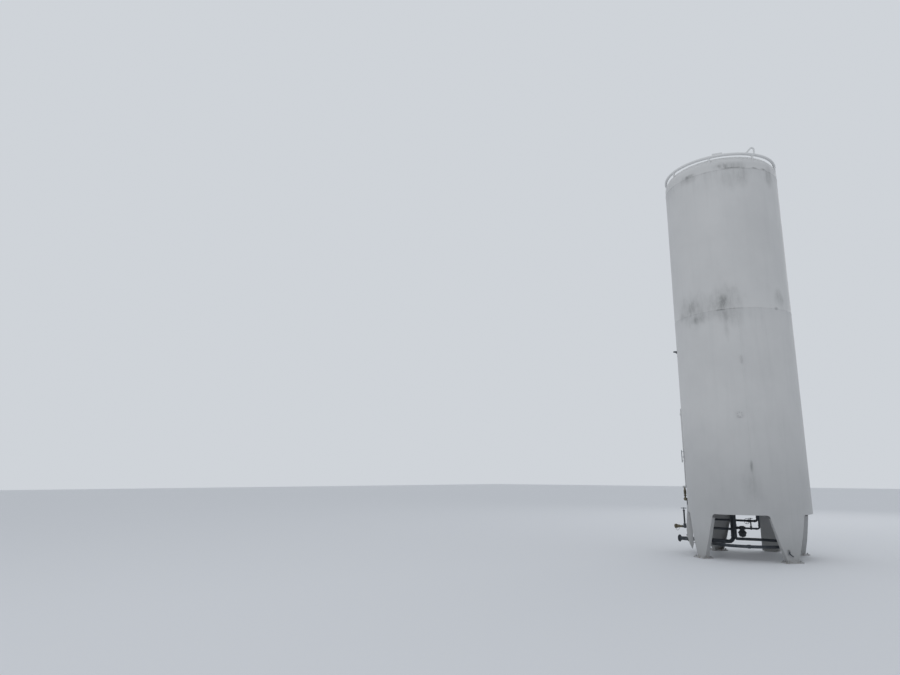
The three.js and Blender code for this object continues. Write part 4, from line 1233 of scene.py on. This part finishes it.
coupling_low, coupling_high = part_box("fill_coupling")
coupling_long = coupling_high.x - coupling_low.x
cap_end = Vector((coupling_low.x, (coupling_low.y + coupling_high.y) / 2,
                  (coupling_low.z + coupling_high.z) / 2))
stub = spun([(0, 0.04), (FILL_PIPE, 0.04), (FILL_PIPE, coupling_long), (0, coupling_long)],
            cap_end, RIGHT, PIPE_SIDES)
nut = placed(softened(hexagon(COUPLING_NUT, 0.044), 0.003), cap_end + NUT_FROM_END, RIGHT)
cap = spun(section((0, 0), (30, 0), (34, 4), (40, 6), (44, 11), (44, 22), (41, 24), (44, 26),
                   (44, 44), (41, 49), (30, 49), (0, 49)), cap_end, RIGHT, 36)
lugs = []
for side in (-1, 1):
    lug = block(LUG_SIZE)
    with Editing(lug) as hand:
        hand.pick("FACE", lambda face: face.normal.y * side > 0.9)
        bpy.ops.transform.resize(value=LUG_TAPER)
    softened(lug, 0.0015)
    lugs.append(placed(lug, cap_end + Vector((0.034, side * (CAP_RADIUS + 0.003), 0))))
settled(joined([stub, nut, cap, *lugs]), "filling_coupling", dull_brass, "brass", "fill_coupling")

# %% Chain of the cap
CHAIN_LINKS = 9
CHAIN_SAG = 0.045
CHAIN_SLOPE = 0.141
LINK_RADIUS = 0.0065
LINK_WIRE = 0.0014
LINK_OVAL = (1.35, 0.85, 1)
chain_from = cap_end + Vector((0.012, 0, -CAP_RADIUS))
chain_to = cap_end + Vector((0.105, 0, -COUPLING_NUT * 0.9))
links = []
for k in range(CHAIN_LINKS):
    share = (k + 0.5) / CHAIN_LINKS
    turn = math.pi * share
    link = started(bpy.ops.mesh.primitive_torus_add, major_radius=LINK_RADIUS,
                   minor_radius=LINK_WIRE, major_segments=14, minor_segments=6)
    with Editing(link):
        bpy.ops.transform.resize(value=LINK_OVAL)
    slope = chain_to - chain_from - Vector((0, 0, CHAIN_SLOPE * math.cos(turn)))
    link.data.transform(Matrix.Rotation(math.radians(90 * (k % 2)), 4, "X"))
    link.data.transform(Vector(RIGHT).rotation_difference(slope).to_matrix().to_4x4())
    hanging = chain_from.lerp(chain_to, share) - Vector((0, 0, CHAIN_SAG * math.sin(turn)))
    links.append(placed(link, hanging))
settled(joined(links), "cap_chain", bare_steel, "bare_steel")

# %% [markdown]
# ## Changeover valve, safety valves and vent
#
# Two safety valves stand on one changeover valve, so that one can be taken away while the other
# still protects the tank. Both blow into the vent pipe, which two brackets hold on the jacket.

# %% Changeover valve
CHANGEOVER_LEVEL = 1.060
SAFETY_ACROSS = 0.046
vent_low, vent_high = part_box("vent_pipe")
vent_at = Vector(((vent_low.x + vent_high.x) / 2, (vent_low.y + vent_high.y) / 2, 0))
changeover_at = vent_at + Vector((0, 0, CHANGEOVER_LEVEL))
changeover_foot, changeover_head = (corner.z - CHANGEOVER_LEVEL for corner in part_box("changeover_valve"))

inlet = spun([*section((0, 0), (24, 0), (26, 3), up=changeover_foot),
              *section((26, -12), (22, -6), (22, 12), (26, 20), (0, 20))],
             changeover_at, steps=FINE_STEPS)
body = spun(mirrored((22, 28), (24, 32), (24, 56), (20, 60), (20, 66), (17, 70), (0, 70)),
            changeover_at, RIGHT, FINE_STEPS)
outlets = [spun([*section((0, 0), (16, 0), (16, 20), (19, 24)),
                 *section((19, -2), (17, 0), (0, 0), up=changeover_head)],
                changeover_at + Vector((side * SAFETY_ACROSS, 0, 0)), steps=24) for side in (-1, 1)]
stem = spun(section((0, 10), (18, 14), (18, 40), (12, 46), (12, 85), (20, 87), (32, 90), (34, 94),
                    (34, 101), (30, 105), (10, 105), (0, 103)), changeover_at, FORWARD, FINE_STEPS)
settled(joined([inlet, body, *outlets, stem]), "changeover_body", dull_brass, "brass",
        "changeover_valve")

# %% Two safety valves
SAFETY_NUT = (0.0265, 0.028)
SAFETY_NUT_RISE = Vector((0, 0, 0.026))
RIB_COUNT = 8
RIB_CIRCLE = 0.0258
RIB_RADIUS = 0.0022
RIB_TALL = 0.052
RIB_RISE = Vector((0, 0, 0.094))

for node, side in (("safety_valve_a", -1), ("safety_valve_b", 1)):
    safety_low, safety_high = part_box(node)
    foot = vent_at + Vector((side * SAFETY_ACROSS, 0, safety_low.z))
    cage = spun([*section((0, 0), (17, 0), (17, 46), (24, 52), (27, 56), (27, 66), (25, 69),
                          (25, 118), (27, 121), (27, 132), (22, 142), (18, 150), (17, 156)),
                 *section((17, 6), (0, 6), up=safety_high.z - safety_low.z)], foot, steps=FINE_STEPS)
    nut = placed(softened(hexagon(*SAFETY_NUT), 0.002), foot + SAFETY_NUT_RISE)
    ribs = [placed(started(bpy.ops.mesh.primitive_cylinder_add, vertices=8, radius=RIB_RADIUS,
                           depth=RIB_TALL), place)
            for place in ring_of(foot + RIB_RISE, UP, RIB_CIRCLE, RIB_COUNT)]
    settled(joined([cage, nut, *ribs]), node + "_body", dull_brass, "brass", node)

# %% Vent pipe with its crossbar
VENT_RADIUS = 0.024
HEADER_LEVEL = 1.310
header_at = vent_at + Vector((0, 0, HEADER_LEVEL))
riser_tall = vent_high.z - HEADER_LEVEL
header = spun(mirrored((21, 75), (20, 80), (15, 84), (0, 85)), header_at, RIGHT, FINE_STEPS)
riser = spun([*section((0, 0), (24, 10), (24, 30), (26, 34), (24, 40)),
              *section((24, 0), (21, 0), (21, -180), (0, -180), up=riser_tall)],
             header_at, steps=FINE_STEPS)
settled(joined([header, riser]), "vent_riser", frame_paint, "tank_paint", "vent_pipe")

# %% Brackets with their clamps
ARM_SECTION = (0.050, 0.010)
PAD_SIZE = (0.090, 0.013, 0.090)
CLAMP = section((0.5, -20), (8, -20), (9, -19), (9, 19), (8, 20), (0.5, 20), out=VENT_RADIUS)

vent_from_axis = vent_at - AXIS
bracket_angle = math.degrees(math.atan2(vent_from_axis.x, -vent_from_axis.y))
bracket_out = heading(bracket_angle)
arm_long = vent_from_axis.length - JACKET_RADIUS - VENT_RADIUS
ear_reach = vent_from_axis.length + VENT_RADIUS + 0.009

for node in ("vent_bracket_lower", "vent_bracket_upper"):
    bracket_low, bracket_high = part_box(node)
    level = (bracket_low.z + bracket_high.z) / 2
    collar = spun(CLAMP, vent_at + Vector((0, 0, level)), steps=FINE_STEPS)
    arm = softened(block((ARM_SECTION[0], arm_long, ARM_SECTION[1])), 0.0015)
    placed(arm, around(bracket_angle, JACKET_RADIUS + arm_long / 2, level), turn=bracket_angle)
    pad = softened(block(PAD_SIZE), 0.003)
    placed(pad, around(bracket_angle, JACKET_RADIUS + PAD_SIZE[1] / 2 - 0.001, level),
           turn=bracket_angle)
    ears = bolts([around(bracket_angle, ear_reach, level + rise) - bracket_out * 0.002
                  for rise in (-0.010, 0.010)], 0.014, bracket_out)
    settled(joined([collar, arm, pad, *ears]), node + "_clamp", frame_paint, "tank_paint", node)

# %% [markdown]
# ## Level tapping and gauges
#
# A thin tube comes down the left side to the level gauge. Each gauge is a spun case with a bezel, a
# white dial, short black strokes round the scale and a needle.

# %% Tapping tube and nipple
TAP_ANGLE = -66
TUBE_ANGLE = -80
TUBE_END_ANGLE = -107
TAP_LEVEL = 4.140
TUBE_LOW = 0.990
GAUGE_LEVEL = 1.560
TUBE_OUT = JACKET_RADIUS + 0.040
TUBE_BEND = 0.024
TUBE_ROUTE = [(TAP_ANGLE, TAP_LEVEL), (TUBE_ANGLE, TAP_LEVEL), (TUBE_ANGLE, TUBE_LOW),
              ((TUBE_ANGLE + TUBE_END_ANGLE) / 2, TUBE_LOW), (TUBE_END_ANGLE, TUBE_LOW),
              (TUBE_END_ANGLE, GAUGE_LEVEL)]

tube = bent_pipe([around(angle, TUBE_OUT, level) for angle, level in TUBE_ROUTE],
                 THIN_PIPE, TUBE_BEND, 16)
nipple = spun(section((0, -10), (22, -6), (20, 4), (16, 8), (16, 60), (14, 74), (0, 74)),
              around(TAP_ANGLE, JACKET_RADIUS, TAP_LEVEL), heading(TAP_ANGLE), 24)
collar = softened(hexagon(0.0165, 0.020), 0.0015)
placed(collar, around(TUBE_ANGLE, TUBE_OUT, TAP_LEVEL - 0.060))
settled(joined([tube, nipple, collar]), "tapping_tube", pipe_paint, "pipe_paint", "tapping_line")

# %% Clips that hold the tube
CLIP_LEVELS = (3.60, 3.05, 2.50, 1.95, 1.40)
CLIP_STRAP = section((0, -10), (2, -10), (2, 10), (0, 10), out=THIN_PIPE)
CLIP_BASE = (0.020, TUBE_OUT - JACKET_RADIUS - THIN_PIPE, 0.020)
clips = []
for level in CLIP_LEVELS:
    clips.append(spun(CLIP_STRAP, around(TUBE_ANGLE, TUBE_OUT, level), steps=COARSE_STEPS))
    base = softened(block(CLIP_BASE), 0.001)
    clips.append(placed(base, around(TUBE_ANGLE, (TUBE_OUT + JACKET_RADIUS - THIN_PIPE) / 2, level),
                        turn=TUBE_ANGLE))
settled(joined(clips), "tube_clips", frame_paint, "tank_paint")

# %% Gauge panel on its stand-offs
GAUGE_ANGLE = -112
PANEL_OUT = 0.076
PANEL_SIZE = (0.340, 0.006, 0.280)
PANEL_FACE = PANEL_OUT + PANEL_SIZE[1] / 2
STUD_PLACES = [(across, rise) for across in (-0.140, 0.140) for rise in (-0.105, 0.105)]
STUD = section((0, 0), (8, 0), (8, 81), (0, 81))
gauge_out = heading(GAUGE_ANGLE)
gauge_along = heading(GAUGE_ANGLE + 90)


def on_panel(across, out, rise):
    return around(GAUGE_ANGLE, JACKET_RADIUS + out, GAUGE_LEVEL + rise) + gauge_along * across


panel = softened(rounded_block(PANEL_SIZE, 1, 0.020, segments=5), 0.0008, 1)
placed(panel, on_panel(0, PANEL_OUT, 0), turn=GAUGE_ANGLE)
studs = [spun(STUD, on_panel(across, -0.005, rise), gauge_out, 12) for across, rise in STUD_PLACES]
settled(joined([panel, *studs]), "gauge_panel", pale_plate, "plate", "gauge_plate")
panel_nuts = bolts([on_panel(across, PANEL_FACE, rise) for across, rise in STUD_PLACES], 0.016,
                   gauge_out)
settled(joined(panel_nuts), "panel_nuts", bare_steel, "bare_steel")

# %% Gauge cases, dials, strokes and needles
DIAL_DEPTH = 0.034
DIAL_TURN = 135
DIAL_STEPS = 48
GAUGE_RISE = 0.010
GAUGE_CASE = [(0, 0), (0.94, 0), (0.97, 2), (0.97, 26), (1, 28), (1, 39), (0.975, 42), (0.90, 42),
              (0.88, 40), (0.88, 32), (0, 32)]
NEEDLE_POINT = 0.25

# How far along the panel each gauge is, its radius, its strokes and the turn of its needle
GAUGES = {"level_gauge": (-0.062, 0.075, 21, 40), "pressure_gauge": (0.094, 0.050, 17, -25)}


def bar(long, wide, thick):
    """A flat bar, slightly narrower on top."""
    piece = block((wide, long, thick))
    with Editing(piece) as hand:
        hand.pick("FACE", lambda face: face.normal.z > 0.9)
        bpy.ops.transform.resize(value=(0.8, 0.97, 1))
    return piece


def on_dial(piece, out, rise, turn, dial_at):
    """Lays a bar on the dial, out from its middle and turned round it."""
    placed(piece, (0, out, rise))
    placed(piece, (0, 0, 0), turn=turn)
    return placed(piece, dial_at, gauge_out, turn=GAUGE_ANGLE)


for node, (across, radius, strokes, needle_turn) in GAUGES.items():
    back = on_panel(across, PANEL_FACE + 0.0003, GAUGE_RISE)
    dial_at = back + gauge_out * DIAL_DEPTH
    case = spun([(radius * share, height * MM) for share, height in GAUGE_CASE], back, gauge_out,
                DIAL_STEPS)
    settled(case, node + "_case", bare_steel, "bare_steel", node)
    dial = spun([(0, -0.003), (radius * 0.875, -0.003), (radius * 0.875, 0), (0, 0)],
                dial_at, gauge_out, DIAL_STEPS)
    settled(dial, node + "_dial", dial_white, "plate")
    parts = []
    for k in range(strokes):
        turn = DIAL_TURN - 2 * DIAL_TURN * k / (strokes - 1)
        long = radius * (0.16 if k % 5 == 0 else 0.09)
        stroke = bar(long, radius * 0.025, 0.0006)
        parts.append(on_dial(stroke, radius * 0.80 - long / 2, 0.0003, turn, dial_at))
    needle = bar(radius * 0.85, radius * 0.05, 0.0012)
    with Editing(needle) as hand:
        hand.pick("VERT", lambda corner: corner.co.y > 0.01)
        bpy.ops.transform.resize(value=(NEEDLE_POINT, 1, 1))
    parts.append(on_dial(needle, radius * 0.22, 0.003, needle_turn, dial_at))
    parts.append(spun([(0, 0), (radius * 0.09, 0), (radius * 0.08, 0.005), (0, 0.006)],
                      dial_at, gauge_out, COARSE_STEPS))
    settled(joined(parts), node + "_scale", dial_black, "plate")

# %% [markdown]
# ## Plates and fittings on the jacket
#
# The rating plate is blank here. Its four rivets, the bolts of the vacuum port and the eyes in the
# cable tab are small, but they catch the light and show the size of the tank.

# %% Blank rating plate
BLANK_ANGLE = -66.5
BLANK_LEVEL = 1.935
BLANK_SIZE = (0.160, 0.008, 0.250)
BLANK_OUT = 0.052
WEB_RISE = 0.095
WEB_SIZE = (BLANK_SIZE[0] - 0.030, BLANK_OUT, 0.008)
RIVET = section((0, 2.5), (3, 2), (4.5, 0), (0, -2))
RIVET_PLACES = [(across, rise) for across in (-0.068, 0.068) for rise in (-0.112, 0.112)]

blank = rounded_block(BLANK_SIZE, 1, 0.008)
with Editing(blank) as hand:
    hand.pick("FACE", lambda face: face.normal.y < -0.9)
    bpy.ops.mesh.inset(thickness=0.006)
    extruded((0, 0.0012, 0))
softened(blank, 0.0006, 1)
placed(blank, around(BLANK_ANGLE, JACKET_RADIUS + BLANK_OUT, BLANK_LEVEL), turn=BLANK_ANGLE)
webs = [placed(softened(block(WEB_SIZE), 0.001),
               around(BLANK_ANGLE, JACKET_RADIUS + BLANK_OUT / 2, BLANK_LEVEL + rise),
               turn=BLANK_ANGLE) for rise in (-WEB_RISE, WEB_RISE)]
settled(joined([blank, *webs]), "blank_rating_plate", pale_plate, "plate", "rating_plate")
rivets = [spun(RIVET, around(BLANK_ANGLE, JACKET_RADIUS + BLANK_OUT + 0.0032, BLANK_LEVEL + rise)
               + heading(BLANK_ANGLE + 90) * across, heading(BLANK_ANGLE), 16)
          for across, rise in RIVET_PLACES]
settled(joined(rivets), "plate_rivets", bare_steel, "bare_steel")

# %% Vacuum port with its bolted cover
PORT_ANGLE = 23
PORT_LEVEL = 2.670
PORT_OUT = 0.014
PORT_BOLTS = 6
port_out = heading(PORT_ANGLE)
port_at = around(PORT_ANGLE, JACKET_RADIUS, PORT_LEVEL)
port = spun(section((0, -6), (53, -6), (55, 1), (50, 5), (50, 8), (54, 9), (55, 10), (55, 13),
                    (54, 14), (22, 14), (20, 17), (0, 17)), port_at, port_out, 48)
settled(port, "vacuum_port_cover", frame_paint, "tank_paint", "vacuum_port")
port_seats = ring_of(port_at + port_out * PORT_OUT, port_out, 0.040, PORT_BOLTS)
settled(joined(bolts(port_seats, 0.013, port_out)), "port_bolts", bare_steel, "bare_steel")

# %% Cable tab with two eyes
TAB_ANGLE = 28.6
TAB_LEVEL = 3.720
TAB_SIZE = (0.012, 0.025, 0.140)
EYE_RISE = 0.045
EYE_RADIUS = 0.005
tab = rounded_block(TAB_SIZE, 0, 0.010, wanted=lambda place: place.y < 0)
placed(tab, around(TAB_ANGLE, JACKET_RADIUS + TAB_SIZE[1] / 2 - 0.001, TAB_LEVEL), turn=TAB_ANGLE)
eyes = [around(TAB_ANGLE, JACKET_RADIUS + 0.014, TAB_LEVEL + rise) for rise in (-EYE_RISE, EYE_RISE)]
drilled(tab, eyes, heading(TAB_ANGLE + 90), EYE_RADIUS, 0.03)
settled(tab, "cable_tab_plate", frame_paint, "tank_paint", "cable_tab")

# %% Hook plate on the roof ring
CLIP_ANGLE = 23.5
CLIP_SIZE = (0.200, 0.016, 0.050)
hook = rounded_block(CLIP_SIZE, 1, 0.014, wanted=lambda place: place.z > 0)
softened(hook, 0.001, 1)
placed(hook, around(CLIP_ANGLE, RING_RADIUS, RING_HEIGHT + RING_TUBE + 0.005), turn=CLIP_ANGLE)
settled(hook, "ring_hook_plate", frame_paint, "tank_paint", "ring_clip")

# %% Earthing lug with the end of its conductor
EARTH_ANGLE = 55.5
EARTH_LEVEL = 0.190
LUG_PLATE = (0.034, 0.012, 0.090)
BOLT_RISE = 0.018
TAIL_OUT = JACKET_RADIUS + 0.028
TAIL_RADIUS = 0.009
TAIL_BEND = 0.020
TAIL_ROUTE = [(0, BOLT_RISE), (0, -0.025), (3.2, -0.075)]
earth_out = heading(EARTH_ANGLE)
lug_plate = softened(block(LUG_PLATE), 0.002)
placed(lug_plate, around(EARTH_ANGLE, JACKET_RADIUS + LUG_PLATE[1] / 2, EARTH_LEVEL), turn=EARTH_ANGLE)
bolt_seat = around(EARTH_ANGLE, JACKET_RADIUS + LUG_PLATE[1], EARTH_LEVEL + BOLT_RISE)
crimp = spun(section((0, 0), (15, 0), (15, 4), (0, 4)), bolt_seat, earth_out, COARSE_STEPS)
tail = bent_pipe([around(EARTH_ANGLE + turn, TAIL_OUT, EARTH_LEVEL + rise)
                  for turn, rise in TAIL_ROUTE], TAIL_RADIUS, TAIL_BEND, 14)
settled(joined([lug_plate, crimp, *bolts([bolt_seat + earth_out * 0.004], 0.026, earth_out)]),
        "earthing_lug", bare_steel, "bare_steel", "earth_lug")
settled(tail, "earthing_tail", pipe_paint, "pipe_paint")

# %% [markdown]
# ## Pipe support and regulator
#
# The support is one plate cut to an outline, standing edge-on under the jacket, with an arm and a
# U-bolt for each of the two outgoing pipes. The regulator is a spun diaphragm housing with its
# flange bolts, hanging in the pressure-building line.

# %% Pipe support
SUPPORT_ANGLE = -66
SUPPORT_PLATE = 0.012
SUPPORT_OUTLINE = [(-0.060, 0.190), (-0.030, 0.090), (0.015, 0.190), (0.052, 0.330),
                   (0.060, 0.480), (0.042, 0.700), (0.020, 0.860), (0.016, 0.960),
                   (0.0005, 0.960), (0.0005, 0.8295), (-0.060, 0.8295)]
ARM_X = -1.020
SHELF_SECTION = (0.040, 0.010)
SHELF_DROP = 0.0053
HELD_PIPES = {"fill": (FILL_Y, FILL_PIPE, FILL_LEVEL), "liquid": (LIQUID_Y, LIQUID_PIPE, LIQUID_LEVEL)}


def cut_plate(outline, thickness):
    """A plate in the YZ plane, cut to an outline of (out, up) corners; out is towards -Y."""
    piece = started(bpy.ops.mesh.primitive_plane_add, size=0.01)
    with Editing(piece) as hand:
        drawn([(-thickness / 2, -out, up) for out, up in outline])
        bpy.ops.mesh.edge_face_add()
        extruded((thickness, 0, 0))
        hand.close()
    return piece


support = cut_plate(SUPPORT_OUTLINE, SUPPORT_PLATE)
placed(support, (0, -JACKET_RADIUS, 0))
placed(support, AXIS, turn=SUPPORT_ANGLE)
support_parts = [softened(support, 0.002)]
root = -ARM_X / math.tan(math.radians(SUPPORT_ANGLE))
for pipe_y, radius, level in HELD_PIPES.values():
    end = pipe_y + radius * 2
    shelf = softened(block((SHELF_SECTION[0], end - root, SHELF_SECTION[1])), 0.001)
    support_parts.append(placed(shelf, beside(ARM_X, (root + end) / 2, level - radius - SHELF_DROP)))
settled(joined(support_parts), "pipe_support_plate", frame_paint, "tank_paint", "pipe_support")

# %% U-bolts round the two pipes
STRAP_ROD = 0.005
STRAP_GAP = 0.006
STRAP_DROP = 0.028
STRAP_NUT = 0.018
STRAP_NUT_DROP = 0.0105

for name, (pipe_y, radius, level) in HELD_PIPES.items():
    reach = radius + STRAP_GAP
    low = level - radius - STRAP_DROP
    high = level + reach
    strap = bent_pipe([beside(ARM_X, pipe_y - reach, low), beside(ARM_X, pipe_y - reach, high),
                       beside(ARM_X, pipe_y + reach, high), beside(ARM_X, pipe_y + reach, low)],
                      STRAP_ROD, reach * 0.98, 12)
    nuts = bolts([beside(ARM_X, pipe_y + side * reach, level - radius - STRAP_NUT_DROP)
                  for side in (-1, 1)], STRAP_NUT, (0, 0, -1))
    settled(joined([strap, *nuts]), name + "_pipe_strap", bare_steel, "bare_steel")

# %% Regulator
REGULATOR_AT = beside(-0.110, BUILD_UP_Y, BUILD_UP_LEVEL)
FLANGE_BOLTS = 10
FLANGE_CIRCLE = 0.073
FLANGE_DROP = Vector((0, 0, -0.082))
housing = spun(section((0, -175), (14, -175), (16, -171), (16, -168), (38, -166), (56, -154),
                       (66, -136), (66, -102), (79, -100), (80, -98), (80, -92), (78, -91),
                       (80, -90), (80, -84), (79, -82), (66, -80), (64, -62), (50, -46), (40, -38),
                       (36, -10), (38, 20), (40, 30), (40, 36), (34, 40), (0, 40)),
               REGULATOR_AT, steps=48)
seat = spun(mirrored((24, 34), (30, 40), (30, 59), (28, 62), (0, 62)), REGULATOR_AT, RIGHT,
            FINE_STEPS)
outlet_end = Vector((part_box("regulator")[1].x, REGULATOR_AT.y, REGULATOR_AT.z))
outlet_pipe = bent_pipe([REGULATOR_AT, outlet_end], SMALL_PIPE, 0)
flange_seats = ring_of(REGULATOR_AT + FLANGE_DROP, UP, FLANGE_CIRCLE, FLANGE_BOLTS)
settled(joined([housing, seat, outlet_pipe, *bolts(flange_seats, 0.011)]), "regulator_body",
        valve_paint, "pipe_paint", "regulator")

# %% Put the bolt pattern away
bpy.data.objects.remove(bolt_pattern)
